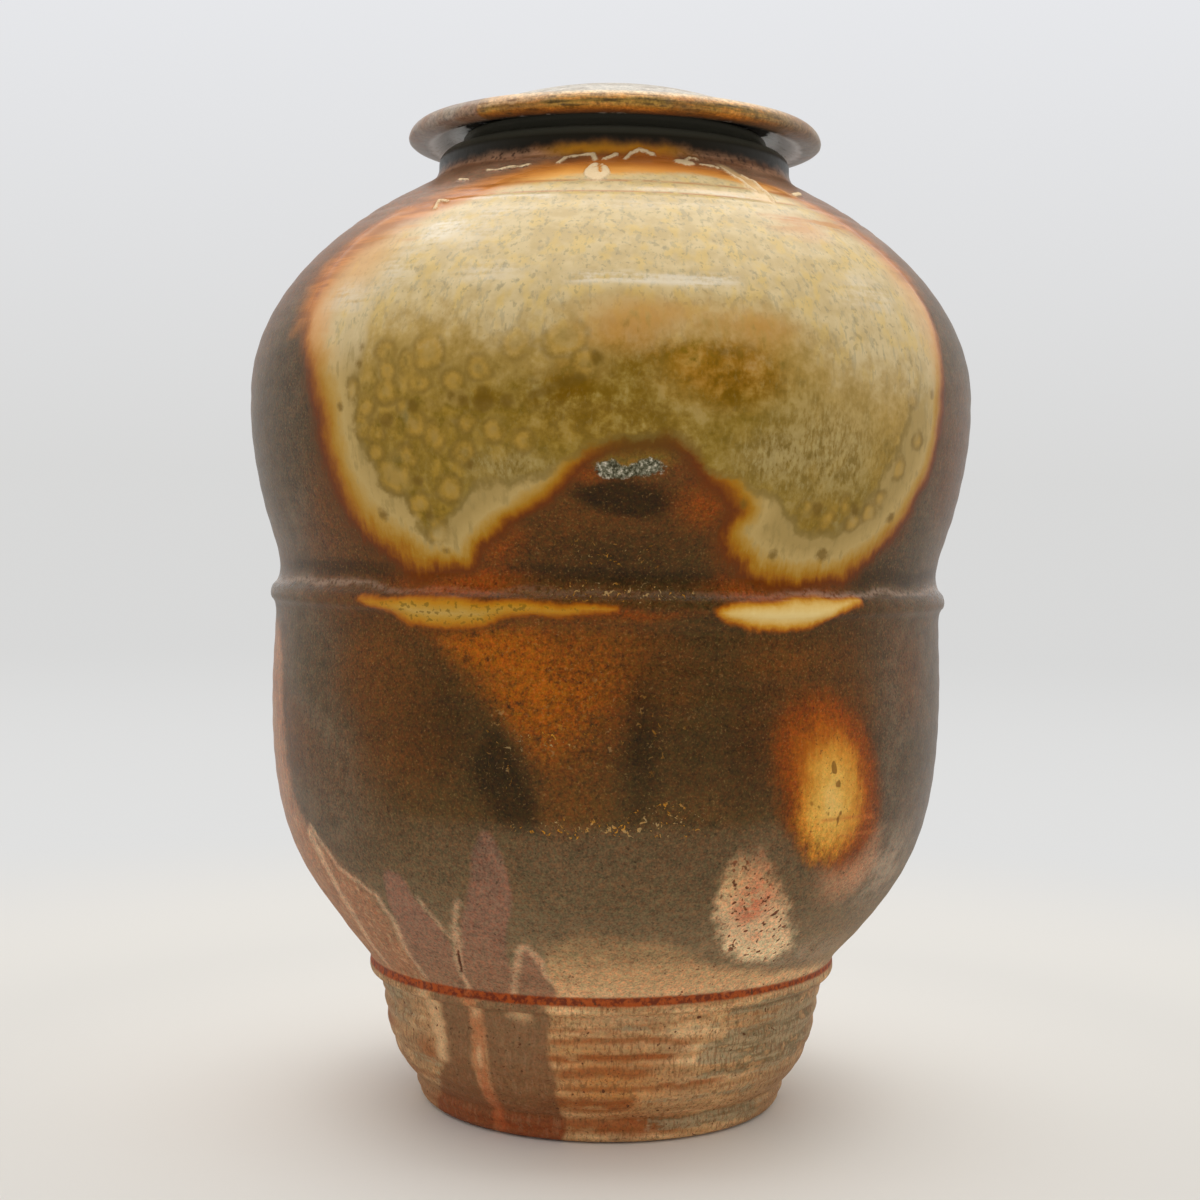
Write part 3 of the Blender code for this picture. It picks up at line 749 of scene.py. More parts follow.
def foot_marks(s):
    """Flashing that runs down the foot in upright bands."""
    f = s.fields
    mauve = s.patch([(-28.6, 57), (-13, 57), (-12.6, 40), (-11.4, 22), (-10, 2), (-29, 2), (-28.4, 30)], 10)
    mauve_left = s.patch([(-42.5, 57), (-33.4, 57), (-33.6, 30), (-34, 2), (-62, 2), (-44, 26)], 10)
    behind = [
        s.patch([(140, 57), (158, 57), (160, 30), (162, 2), (138, 2), (139, 30)], 24),
        s.patch([(-134, 57), (-114, 57), (-112, 26), (-108, 2), (-136, 2), (-136, 30)], 24),
    ]
    f["mauve"] = most(mauve, mauve_left, 0.22 * most(*behind) - 0.4)
    f["red_streak"] = s.stroke([(-31, 61), (-31, 30), (-30.6, 2)], 6.6)
    f["foot_pale"] = soft(
        s.glows((-31, 51.5, 4.5, 6), (-19.5, 51.4, 7, 4.5), (-31, 33, 3, 7, 0.8), (6, 52, 30, 5, 0.5)),
        ease(s.stroke([(-45.5, 56), (-45, 46), (-44, 30)], 6.5), -2, 3),
    )
    f["grey_foot"] = soft(
        s.glows(
            (62, 40, 34, 26), (-62, 44, 24, 22, 0.6), (42, 34, 30, 34, 0.5), (-54, 24, 22, 18, 0.5),
            (118, 30, 50, 40), (-168, 40, 46, 26, 0.8),
        ),
        s.hoops(
            (48, 52.5, 30, 4.5), (46, 37, 36, 9), (44, 27.5, 34, 3, 0.8), (36, 8, 34, 5, 0.9),
            (20, 47.5, 36, 1.6, 0.5), (30, 18, 30, 2.5, 0.5), (-90, 50, 60, 5, 0.7),
        ),
    )
    f["foot_wash"] = s.glows((2, 24, 34, 26, 1.1), (-8, 40, 18, 12, 0.6))
    f["rust_foot"] = soft(
        s.glows((-42, 6, 60, 10), (-100, 16, 60, 16, 0.7), (-50, 30, 14, 8, 0.8)),
        s.hoops(
            (0, 7.5, 42, 5.5), (-3, 17, 22, 6), (180, 12, 90, 8, 0.9), (170, 24, 70, 2, 0.8),
            (176, 36, 90, 2.4, 0.8), (-170, 44, 70, 1.8, 0.6), (-96, 33, 50, 3, 0.6), (2, 36.2, 30, 1.9),
            (5, 42.6, 34, 1.7, 0.8), (0, 47.2, 26, 1.3, 0.6), (0, 30.8, 22, 3.6, 0.9),
            (10, 24, 40, 1.7, 0.8), (20, 12, 30, 1.4, 0.5), (-50, 18, 30, 3, 0.5),
        ),
    )


def crust_marks(s):
    """Ash that froze as pale raised lines, drips and crumbs."""
    f = s.fields
    disc = np.minimum(s.spot(-4.2, 354.4, 4.6, 8.6), -s.stroke([(-3.8, 362), (-3.4, 354)], 1.1))
    disc = np.minimum(disc, -s.stroke([(-6, 356), (-2, 357.4)], 0.7))
    lines = s.strokes(
        ((-35.5, 358.4), (-31, 358), (-28, 359), (-25.5, 358.8), (-23, 359.8), 1.5),
        ((-15.2, 359.4), (-14.6, 362.6), (-11, 363.4), (-7, 363.6), (-5.5, 360.8), 1.6),
        ((-3.1, 360.8), (-1.4, 362.2), (-0.4, 363.2), 2.0),
        ((2.3, 360.8), (4.6, 363.6), (7.4, 364.6), (9.6, 363.8), (12, 362.8), 1.6),
        ((21, 363), (22.8, 364.2), (24.8, 363.2), 1.1), ((24.6, 360.8), (27, 360.4), (29.3, 359.6), 1.7),
        ((31, 360.5), (31.4, 355), (31.6, 350), 1.3), ((35, 357), (35, 351), (34, 346.4), 1.3),
        ((45.8, 351.6), (48, 352.4), (50.6, 353.2), 2.0),
        ((-35.2, 343.3), (-38.4, 344.6), (-36.2, 340.8), 1.1), ((-41.5, 354.6), (-38.5, 354), 1.2),
    )
    f["crust"] = most(lines, disc, s.spot(19.8, 361, 4.0, 2.4))
    # A cream drip down the shoulder, and a painted highlight along the groove at 347 mm
    f["cream_run"] = most(
        s.stroke([(33.2, 360), (33.4, 352), (32.6, 347)], 8.0),
        s.stroke([(33, 347), (20, 347.4), (6, 347)], 2.4),
    )
    f["brown_oval"] = s.patch(
        [(-14.4, 359.8), (-14, 362.6), (-10, 363.2), (-7, 363.2), (-6, 360.6), (-10, 359.4)], 8,
    )
    f["crack"] = s.stroke([(-31, 357.7), (-29.5, 358.6), (-27.4, 358), (-25, 358.4), (-23.4, 359)], 0.9)
    f["silver"] = most(
        s.spot(0.2, 247.2, 5.4, 3.3), s.spot(5.2, 248, 5.6, 2.5), s.stroke([(0, 247.2), (5, 247.6)], 4.0),
    )
    f["fleck"] = s.glows(
        (-2, 125.5, 40, 4.5), (10, 129, 26, 10, 0.5), (2, 206, 44, 5, 0.7), (-15, 150, 14, 30, 0.12),
        (-8, 157, 14, 4, 0.4), (0, 219, 44, 12, 0.2), (0, 160, 70, 40, 0.15), (176, 338, 120, 20, 0.3),
        (-130, 205, 80, 10, 0.25),
    )


def jar_form(s):
    """Marks of throwing and firing in the jar's shape, kept within the frame's outline."""
    f = s.fields
    out = s.outside * 1.0
    s.push -= SET_BACK * out
    rings = np.sin(2 * math.pi * (s.along + 2 * drift(s.places, 60, 5)) / RING_PITCH)
    s.push += out * ease(s.height, 62, 75) * RING_DEPTH * rings * (0.6 + 0.4 * drift(s.places, 45, 6))
    s.push += out * 0.22 * (drift(s.places, 70, 7) - 0.5)
    for height, deep in GROOVES:
        away = (s.height - height + 0.5 * drift(s.places, 40, 8)) / GROOVE_HALF_WIDTH
        s.push -= out * deep * np.exp(-away * away)
    for name, start, full, rise in RELIEFS:
        s.push += rise * ease(f[name], start, full)
    s.push += out * 0.12 * f["fleck"] * drift(s.places, 1.6, 9)

    # The ledge is slightly warped
    turn = np.radians(s.azimuth)
    slope = (1.3 * np.sin(turn) + 0.5 * np.cos(2 * turn) - 0.8) * np.cos(turn / 2)
    on_ledge = ease(s.height, 48, 55) * (1 - ease(s.height, 62, 80)) * out
    s.raised += slope * on_ledge

    f["side"] = np.abs(s.azimuth)
    top = s.along[int(s.line[:, 1].argmax())]
    f["seat"] = ease(s.along - top, -0.5, 1.0) * ease(top - s.along, -12, -9)
    # A red line just under the ledge's lip, darkened as painted shade under the lip, and thinner to the
    # right
    line_depth = 1.6 - np.abs(s.height - LEDGE_LINE_HEIGHT) - 0.5 * ease(turn, 0.2, 0.9)
    f["ledge_line"] = np.where(s.outside, line_depth, FAR_OUTSIDE)


def lid_form(s):
    """Marks of throwing and firing on the lid. "section" is the distance in mm from its edge."""
    f = s.fields
    widest = s.along[int(s.line[:, 0].argmax())]
    left = ease(-s.azimuth, *LEFT_PART)
    f["section"] = s.along - widest
    f["calm"] = np.maximum(ease(s.azimuth, 30, 66), left)
    f["left"] = left * ease(s.azimuth, -100, -70)
    f["cream"] = (1 - left) * ease(-s.azimuth, 12, 34)

    # Painted shade and smoke blackening under the front of the lid, wider towards the neck
    inward = widest - s.along
    reach = 54 + 2.8 * np.clip(inward - 15, 0, 12) - 4 * np.clip(inward - 28, 0, 40)
    away = np.abs(s.azimuth - 2) + 6 * drift(s.places, 22, 13) + 3 * drift(s.places, 7, 14)
    f["soot"] = ease(reach - away, -9, 5)
    s.push += 0.10 * (drift(s.places, 30, 11) - 0.6)


def outside_of_jar(line):
    """Whether each point of the jar's outline is on the side that shows, up to the mouth's top."""
    return np.arange(len(line)) <= int(line[:, 1].argmax())


def outside_of_lid(line):
    """Whether each point of the lid's outline is on its upper side, from the edge's widest point."""
    return np.arange(len(line)) >= int(line[:, 0].argmax())


# Materials of the pieces

def add_jar_noises(p):
    """The height in mm, and the noises that several layers share."""
    parts = p.add("ShaderNodeSeparateXYZ")
    p.feed(parts.inputs[0], p.place)
    p.height = p.times(parts.outputs[2], 1 / MM)
    p.fine = p.noise(0.8, 2, 0.6)
    p.grain = p.noise(1.9, 4, 0.62)
    p.medium = p.noise(6.5, 3, 0.55)
    p.large = p.noise(36, 3, 0.5)
    p.streak = p.noise(2.2, 3, 0.6, stretch=(1.0, 0.18))
    p.lines = p.noise(3.0, 3, 0.6, stretch=(0.1, 1.0))
    p.ragged = p.stir(0.0, medium=5, grain=3)


def clay_layer(p):
    """Bare clay with a thin skin of ash, by height: tan at the foot and dark brown above."""
    level = p.stir(p.height, large=24, medium=6)
    by_height = [
        (0, 166, 120, 78), (20, 180, 136, 90), (54, 190, 148, 102),
        (60, 158, 130, 94), (76, 134, 110, 80), (92, 118, 96, 68),
        (112, 104, 81, 52), (128, 90, 64, 30), (150, 84, 54, 20),
        (205, 88, 57, 21), (240, 88, 57, 22), (300, 108, 78, 52),
        (335, 140, 106, 84), (364, 150, 114, 90),
    ]
    base = p.ramp(level, by_height)
    # Greyer clay at the sides, partly a painted sheen
    base = p.over(base, p.mix(p.medium, (90, 68, 44), (112, 92, 70)), "cool")
    base = p.over(base, (72, 52, 18), "olive_brown", 0.7)
    dry = p.ease(p.height, 120, 150)
    drifts = p.stir(p.noise(58, 1, 0.4), large=0.35)
    base = p.over(base, (104, 60, 14), p.ease(drifts, 0.44, 0.66), dry, 0.5)
    base = p.over(base, (72, 54, 22), p.ease(drifts, 0.52, 0.34), dry, 0.45)
    base = p.over(base, (118, 96, 72), "matte", p.ease(p.grain, 0.1, 0.5), 0.32)
    base = p.over(base, p.mix(p.medium, (98, 56, 14), (116, 68, 16)), "warm")
    base = p.over(base, (166, 144, 120), "right_clay", p.ease(p.medium, 0.2, 0.6), 0.75)

    tan = p.stir("tan_clay", medium=6, streak=5)
    tan_stops = [(58, 222, 178, 132), (68, 204, 162, 116), (78, 168, 134, 94), (88, 140, 112, 78)]
    base = p.over(base, p.ramp(p.height, tan_stops), p.ease(tan, -4, 4))
    left = p.plus("left_clay", p.ragged)
    left_stops = [(0.3, 156, 102, 68), (0.5, 164, 114, 80), (0.7, 182, 138, 102)]
    base = p.over(base, p.ramp(p.streak, left_stops), p.ease(left, -4, 6), 0.9)
    return base


def bare_marks_layer(p, base):
    """Smooth licks of flame with pale edges, low on the belly."""
    flame = p.plus("licks", p.times(p.ragged, 0.15))
    flame_stops = [(58, 152, 114, 86), (90, 144, 104, 82), (122, 126, 92, 72)]
    base = p.over(base, p.ramp(p.height, flame_stops), p.ease(flame, -1.2, 1.2))
    pale = p.stir("pale", grain=1.4)
    base = p.over(base, (202, 162, 126), p.ease(pale, -1.8, 1.0), 0.75)
    return p.over(base, (84, 40, 22), p.ease("split", -0.4, 0.3))


def foot_layer(p, base):
    """Upright bands and rings of flashing on the foot."""
    on_foot = p.ease(p.height, 60, 56)
    wash = p.stir(0.5, lines=0.9, streak=0.5)
    washed = p.ramp(wash, [(0.3, 184, 136, 88), (0.46, 206, 162, 112), (0.62, 228, 186, 136)])
    base = p.over(base, washed, on_foot, 0.9)
    stain = p.times(on_foot, p.ease(p.stir(p.large, streak=0.6), 0.46, 0.62))
    base = p.over(base, (150, 108, 70), stain, 0.5)
    side_stain = p.times(on_foot, p.ease("side", 40, 58), p.ease(p.medium, 0.2, 0.6))
    base = p.over(base, (138, 106, 76), side_stain, 0.6)
    base = p.over(base, (190, 128, 66), "foot_wash", p.ease(p.stir(p.lines, grain=0.6), 0.22, 0.6), 0.85)
    rings = p.times("rust_foot", p.ease(p.stir(p.lines, medium=0.5), 0.2, 0.45))
    base = p.over(base, p.mix(p.medium, (164, 92, 42), (140, 70, 26)), rings, 0.9)
    grey = p.stir("grey_foot", medium=2.6, lines=2.6, grain=1.4)
    grey_shade = p.mix(p.ease(p.stir(p.lines, medium=0.6), 0.4, 0.6), (106, 94, 66), (158, 138, 104))
    base = p.over(base, grey_shade, p.ease(grey, 0.25, 0.95), p.ease("grey_foot", 0.0, 0.3), 0.85)
    cracks = p.ease(p.stir(p.noise(1.1, 2, 0.6, stretch=(1.0, 0.24)), medium=0.3), 0.53, 0.6)
    base = p.over(base, (120, 80, 46), cracks, on_foot, 0.5)
    mauve = p.stir("mauve", grain=1.5)
    mauve_shade = p.ramp(p.height, [(4, 138, 66, 30), (16, 124, 80, 48), (46, 130, 96, 66)])
    mauve_shade = p.over(mauve_shade, (104, 64, 38), p.ease(p.lines, 0.46, 0.62), 0.35)
    mauve_shade = p.over(mauve_shade, (156, 116, 84), p.ease(p.streak, 0.52, 0.64), 0.3)
    base = p.over(base, mauve_shade, p.ease(mauve, -1.6, 1.6), 0.9)
    red = p.times(p.ease("red_streak", -2.0, 2.0), on_foot)
    base = p.over(base, p.ramp(p.height, [(6, 166, 82, 42), (46, 182, 116, 74)]), red, 0.8)
    return p.over(base, (206, 166, 122), "foot_pale")


def fire_layer(p, base):
    """Rust, a glowing flare, dark shadows that the flame left on the belly, and painted shade along the
    crease above the bead.
    """
    grit = p.stir(p.grain, medium=0.8)
    rust = p.times("rust", p.ease(grit, 0.05, 0.5))
    base = p.over(
        base, p.mix(p.ease(p.stir(p.large, grain=0.5), 0.35, 0.65), (130, 66, 0), (154, 82, 0)), rust,
    )
    base = p.over(base, p.mix(p.streak, (206, 142, 98), (200, 150, 114)), "tail", 0.85)
    # Dark flame marks, and painted shade along the crease above the bead
    base = p.over(base, p.mix(p.grain, (34, 20, 0), (54, 36, 4)), "dark", 0.88)
    base = p.over(base, (138, 66, 4), "amber", p.ease(grit, 0.0, 0.45))
    base = p.over(base, (146, 114, 40), "film", p.ease(p.grain, 0.1, 0.45))
    base = p.over(base, p.mix(p.medium, (74, 36, 0), (110, 60, 4)), "arch", 0.8)
    flare = p.stir("flare", medium=3, streak=4, grain=1.2)
    flare_stops = [
        (-6, 88, 54, 14), (0, 116, 58, 4), (5, 138, 66, 0), (11, 166, 86, 2),
        (18, 190, 114, 20),
    ]
    base = p.over(base, p.ramp(flare, flare_stops), p.ease(flare, -6, 4))
    heart = p.stir("flare_heart", streak=7, medium=6, grain=1.5)
    heart_stops = [(-7, 186, 108, 18), (0, 206, 140, 44), (6, 224, 170, 74), (11, 230, 186, 100)]
    base = p.over(base, p.ramp(heart, heart_stops), p.ease(heart, -7, 2))
    base = p.over(base, (188, 104, 40), "flare_cut", 0.6)
    pits = p.times(p.ease(p.noise(3.4, 1, 0.4, stretch=(1.0, 0.6)), 0.66, 0.72), p.ease(heart, -2, 4))
    return p.over(base, (122, 78, 14), pits, 0.8)


def pink_layer(p, base):
    """A bare patch with a reddish blush and dark iron spots."""
    edge = p.stir("pink", medium=7, grain=2.5, streak=6)
    pink = p.times(p.ease(edge, -4.0, 3.5), p.ease(p.height, 128, 104, 0.55, 1.0))
    stops = [(76, 232, 200, 156), (92, 224, 184, 140), (106, 204, 160, 112), (118, 144, 112, 80)]
    base = p.over(base, p.ramp(p.stir(p.height, streak=20), stops), pink)
    blush = p.times(pink, "pink_core", p.ease(p.stir(p.grain, medium=1.2), 0.24, 0.6), 0.9)
    base = p.over(base, p.mix(p.streak, (200, 112, 78), (186, 112, 78)), blush)
    spots = p.times(pink, p.ease(p.noise(2.0, 1, 0.4), 0.62, 0.68))
    return p.over(base, (110, 62, 36), spots)


def rim_colours(p, depth):
    """The glaze's edge: burnt brown, orange, gold and cream, and softer on the shoulder."""
    low = p.ramp(
        depth,
        [
            (-13, 88, 56, 20), (-8, 96, 54, 12), (-4.5, 108, 50, 2), (-1.8, 136, 74, 2), (0.8, 164, 104, 6),
            (3.2, 172, 122, 26), (7, 184, 144, 66), (11, 190, 160, 98), (20, 172, 144, 84),
        ],
    )
    high = p.ramp(
        depth,
        [
            (-12, 112, 80, 56), (-7, 132, 86, 52), (-3, 166, 100, 46), (1, 196, 128, 60), (6, 212, 158, 98),
            (12, 222, 188, 142), (18, 212, 190, 148),
        ],
    )
    return p.over(low, high, p.ease(p.height, 274, 304))


def curdled(p, base):
    """Soft cells of khaki, ochre and grey, with darker olive seams."""
    stir = p.add("ShaderNodeTexNoise")
    p.feed(stir.inputs["Vector"], p.place)
    stir.inputs["Scale"].default_value = 1 / (CURD_STIR_SIZE * MM)
    moved = p.add("ShaderNodeVectorMath", operation="MULTIPLY_ADD")
    p.feed(moved.inputs[0], stir.outputs["Color"])
    moved.inputs[1].default_value = (CURD_STIR * MM,) * 3
    p.feed(moved.inputs[2], p.place)
    curds = p.add("ShaderNodeTexVoronoi", feature="F1")
    seams = p.add("ShaderNodeTexVoronoi", feature="DISTANCE_TO_EDGE")
    for node in (curds, seams):
        p.feed(node.inputs["Vector"], moved.outputs[0])
        node.inputs["Scale"].default_value = 1 / (CURD_SIZE * MM)
    luck = p.add("ShaderNodeSeparateColor")
    p.feed(luck.inputs[0], curds.outputs["Color"])
    share = p.times(p.ease(p.height, 318, 298), "curds")
    middle = p.ease(seams.outputs["Distance"], 0.0, 0.34)
    warm = p.times(p.ease(luck.outputs[0], 0.4, 0.75), middle, share)
    base = p.over(base, (180, 141, 52), warm, 0.65)
    grey = p.times(p.ease(luck.outputs[1], 0.5, 0.85), middle, share)
    base = p.over(base, (158, 142, 94), grey, 0.4)
    seam = p.times(p.ease(seams.outputs["Distance"], 0.26, 0.0), p.ease(p.medium, 0.34, 0.56), share)
    return p.over(base, (118, 91, 22), seam, 0.45)


def cloudy_glaze(p, level):
    """The thick middle of the glaze: khaki and ochre, with fine specks and darker pools."""
    mottle = p.stir(p.medium, grain=0.5)
    stops = [(0.3, 122, 96, 16), (0.46, 139, 110, 30), (0.6, 156, 127, 50), (0.72, 168, 141, 74)]
    inner = p.ramp(mottle, stops)
    pepper = p.noise(1.5, 3, 0.6, stretch=(1.0, 0.5))
    ashen = p.mix(p.ease(p.stir(pepper, medium=0.5), 0.36, 0.62), (142, 117, 60), (178, 156, 102))
    inner = p.over(inner, ashen, "ashen", 0.8)
    inner = p.over(inner, (170, 130, 36), "gold", p.ease(mottle, 0.3, 0.62), 0.55)
    inner = curdled(p, inner)
    olive = p.times("olive", p.ease(mottle, 0.7, 0.4))
    inner = p.over(inner, p.mix(p.grain, (112, 80, 4), (134, 96, 8)), olive, 0.8)
    veins = p.stir(p.noise(7.5, 3, 0.6, twist=0.35), grain=0.25)
    rich_stops = [(0.36, 124, 86, 2), (0.47, 150, 104, 16), (0.56, 168, 118, 34), (0.68, 184, 138, 60)]
    rich = p.times("rich", p.ease(mottle, 0.2, 0.5))
    inner = p.over(inner, p.ramp(veins, rich_stops), rich, 0.9)
    inner = p.over(inner, (114, 80, 0), olive, 0.6)
    speckled = p.blend("ashen", 0.12, 0.45)
    inner = p.over(inner, (182, 160, 98), p.ease(pepper, 0.55, 0.66), speckled)
    inner = p.over(inner, (108, 86, 30), p.ease(pepper, 0.42, 0.34), speckled)
    lift = p.times(p.ease(level, 258, 298), p.ease("olive", 0.6, 0.1), p.ease("rich", 0.8, 0.2))
    inner = p.over(inner, (196, 162, 96), lift, 0.55)
    tan = p.times("tan", p.ease(p.stir(p.streak, medium=0.8), 0.1, 0.55))
    return p.over(inner, p.mix(p.medium, (200, 148, 76), (180, 130, 56)), tan, 0.9)


def straw_glaze(p):
    """The paler glaze on the shoulder, with grey specks and yellow patches."""
    straw = p.mix(p.ease(p.medium, 0.36, 0.64), (196, 172, 124), (208, 186, 140))
    yellow = p.ease(p.noise(5.5, 2, 0.5, stretch=(1.0, 0.5)), 0.5, 0.66)
    straw = p.over(straw, (214, 182, 108), yellow, 0.55)
    straw = p.over(straw, (166, 154, 122), p.ease(p.streak, 0.54, 0.64), 0.55)
    specks = p.ease(p.noise(1.6, 2, 0.5, stretch=(0.8, 0.6)), 0.6, 0.68)
    return p.over(straw, (150, 138, 104), specks, 0.5)


def glaze_layer(p, base):
    """The ash glaze, from its burnt rim to its cloudy middle. Gives the colour and its cover."""
    runs = p.times(p.plus(p.streak, -0.5), p.ease(p.height, 240, 220, 3.0, 9.0))
    depth = p.stir(p.plus("ash", runs), medium=5, grain=3)
    glaze = rim_colours(p, depth)
    glaze = p.over(glaze, (98, 66, 4), "arch_top", p.ease(depth, 8, 1), 0.9)
    dusk = p.times(p.ease(depth, 6, 12), p.ease(p.stir(p.streak, medium=0.8), 0.5, 0.68), 0.55)
    glaze = p.over(glaze, (156, 132, 76), dusk)

    level = p.stir(p.plus(p.height, "rise"), medium=26, large=16, grain=12)
    core = p.stir("core", medium=5, grain=2.4)
    glaze = p.over(glaze, cloudy_glaze(p, level), p.ease(core, -2.6, 2.6))
    outline = p.times(
        p.ease(core, -2.4, -0.2), p.ease(core, 2.4, 0.2), p.ease(p.height, 292, 272),
        p.ease(p.medium, 0.3, 0.5),
    )
    glaze = p.over(glaze, (118, 96, 40), outline, 0.5)

    cell = p.stir("cell", grain=2, medium=2)
    faint = p.ease(p.medium, 0.3, 0.6)
    glaze = p.over(glaze, (122, 95, 32), p.ease(cell, -2.2, -0.2), p.ease(cell, 2.2, 0.2), faint, 0.6)
    glaze = p.over(glaze, (186, 144, 56), p.ease(cell, -0.8, 2.4), faint, 0.65)
    glaze = p.over(glaze, (156, 134, 80), p.ease(cell, 1.4, 4.0), 0.35)
    spot = p.ease(p.stir("spots", grain=3), -1.0, 1.2)
    glaze = p.over(glaze, p.mix(p.medium, (100, 74, 10), (124, 92, 24)), spot, 0.75)

    inside = p.ease(depth, 4, 14)
    straw = p.times(p.ease(level, 283, 311), p.blend("tan", 0.95, 0.2))
    glaze = p.over(glaze, straw_glaze(p), straw, inside)
    pale = p.mix(p.lines, (204, 146, 88), (224, 178, 126))
    glaze = p.over(glaze, pale, "peach", p.ease(depth, 0, 6), 0.65)
    glaze = p.over(glaze, (186, 118, 36), "burnt", p.ease(p.lines, 0.3, 0.6), 0.8)
    band = p.times(p.ease(p.height, 347.4, 351), p.ease(depth, 18, 11))
    band_stops = [(348, 206, 140, 76), (351, 236, 180, 100), (356, 230, 154, 66), (360, 190, 98, 36)]
    glaze = p.over(glaze, p.ramp(p.stir(p.height, lines=5), band_stops), band, 0.9)
    # Pale glaze and painted highlights, broken into streaks
    highlight_streaks = p.ease(p.stir(p.lines, grain=0.5), 0.3, 0.6)
    glaze = p.over(glaze, (226, 214, 192), "milk", highlight_streaks, 0.8)
    red_lines = p.plus(p.ridge(p.height, 350.2, 0.9), p.ridge(p.height, 345.3, 0.6))
    glaze = p.over(glaze, (176, 108, 62), red_lines, p.ease(depth, 0, 3), p.ease(p.medium, 0.3, 0.55), 0.6)

    cover = p.ease(depth, p.ease(p.height, 270, 302, -13.0, -10.0), p.ease(p.height, 270, 302, -3.0, 3.0))
    shown = p.mix(cover, base, glaze)
    scorch = p.stir("scorch", lines=3, medium=6)
    burnt = p.mix(p.ease(p.lines, 0.38, 0.6), (160, 94, 36), (198, 124, 56))
    shown = p.over(shown, burnt, p.ease(scorch, -8.0, 7.0), 0.85)
    scratch = p.times(p.ease(p.lines, 0.58, 0.68), p.ease(scorch, -3, 3))
    return p.mix(p.times(scratch, 0.5), shown, (132, 78, 44)), cover


def grit_layer(p, body):
    """Grain, specks and pores of the coarse clay."""
    specks = p.stir(1.0, grain=1.2, fine=1.6, medium=0.6, lines=0.4)
    coarse_skin = p.times(p.ease("flare", 14, 4, 0.4, 1.0), p.ease(p.height, 40, 66, 0.55, 1.0))
    body = p.mix(coarse_skin, body, p.calc("MAXIMUM", specks, 0.4), blend="MULTIPLY")
    tint = p.ramp(
        p.noise(1.3, 2, 0.6),
        [(0.38, 0.86, 1.04, 1.0, 1), (0.5, 1, 1, 1, 1), (0.62, 1.2, 0.96, 0.86, 1)],
    )
    body = p.mix(p.times(coarse_skin, 0.8), body, tint, blend="MULTIPLY")
    body = p.over(body, (140, 108, 64), p.ease(p.fine, 0.62, 0.72), 0.5)
    pores = p.ease(p.noise(1.2, 1, 0.4), 0.69, 0.74)
    return p.over(body, (40, 24, 8), pores, 0.5)


def neck_layer(p, body):
    """The neck: brown, with an amber glow under the lid, painted shade with smoke blackening above it, and
    a worn rim.
    """
    neck = p.ease(p.height, 359.5, 363.5)
    scraped = p.mix(p.ease(p.lines, 0.38, 0.6), (136, 90, 60), (196, 148, 114))
    scraped = p.over(scraped, (92, 62, 50), p.ease(p.grain, 0.5, 0.66))
    scraped = p.over(scraped, (110, 66, 30), p.ease("side", 26, 10))
    body = p.over(body, scraped, neck, 0.8)
    amber_neck = p.times(p.ridge(p.stir(p.height, medium=4), 366.0, 4.2), p.ease("side", 30, 12))
    body = p.over(body, p.mix(p.medium, (172, 106, 8), (204, 144, 40)), amber_neck)
    # Near black towards the top, under the lid: painted shade of the lid's overhang, with smoke blackening
    sooty_shade = p.stir(p.plus(p.height, p.ease("side", 12, 30, 0.0, 2.5)), medium=5, grain=1.5)
    sooty_shade_stops = [(366, 30, 24, 14), (371, 40, 37, 28), (374, 92, 90, 78)]
    body = p.over(body, p.ramp(p.height, sooty_shade_stops), p.ease(sooty_shade, 364.5, 371.0))
    seat = p.mix(p.ease(p.medium, 0.36, 0.6), (104, 82, 58), (164, 134, 100))
    body = p.over(body, seat, "seat", p.ease(p.stir(p.grain, large=1), 0.2, 0.55))
    return p.over(body, (110, 76, 50), p.ease("brown_oval", -0.5, 0.6))


def pool_layer(p, body):
    """Two pale pools of glaze on the bead, and a painted highlight along its top. Gives the colour and the
    depth.
    """
    pool = p.stir("pool", grain=2, streak=1.2)
    right_pool = [
        (-2, 120, 58, 2), (-0.6, 168, 92, 6), (0.8, 206, 146, 40),
        (2.2, 224, 184, 102), (4.5, 236, 206, 136),
    ]
    left_pool = [
        (-2, 112, 54, 2), (-0.6, 160, 88, 6), (1.0, 188, 126, 22),
        (2.6, 190, 142, 46), (4.5, 200, 160, 78),
    ]
    pool_shade = p.mix("pool_left", p.ramp(pool, right_pool), p.ramp(pool, left_pool))
    body = p.over(body, pool_shade, p.ease(pool, -2.6, -0.2))
    seeds = p.times(p.ease(pool, 0.0, 1.6), p.ease(p.noise(1.9, 2, 0.5), 0.54, 0.62), "pool_left")
    body = p.over(body, (112, 88, 14), seeds, 0.65)
    # Painted highlight along the top of the bead
    return p.over(body, (186, 156, 134), "crest", p.ease(p.grain, 0.3, 0.55), 0.5), pool


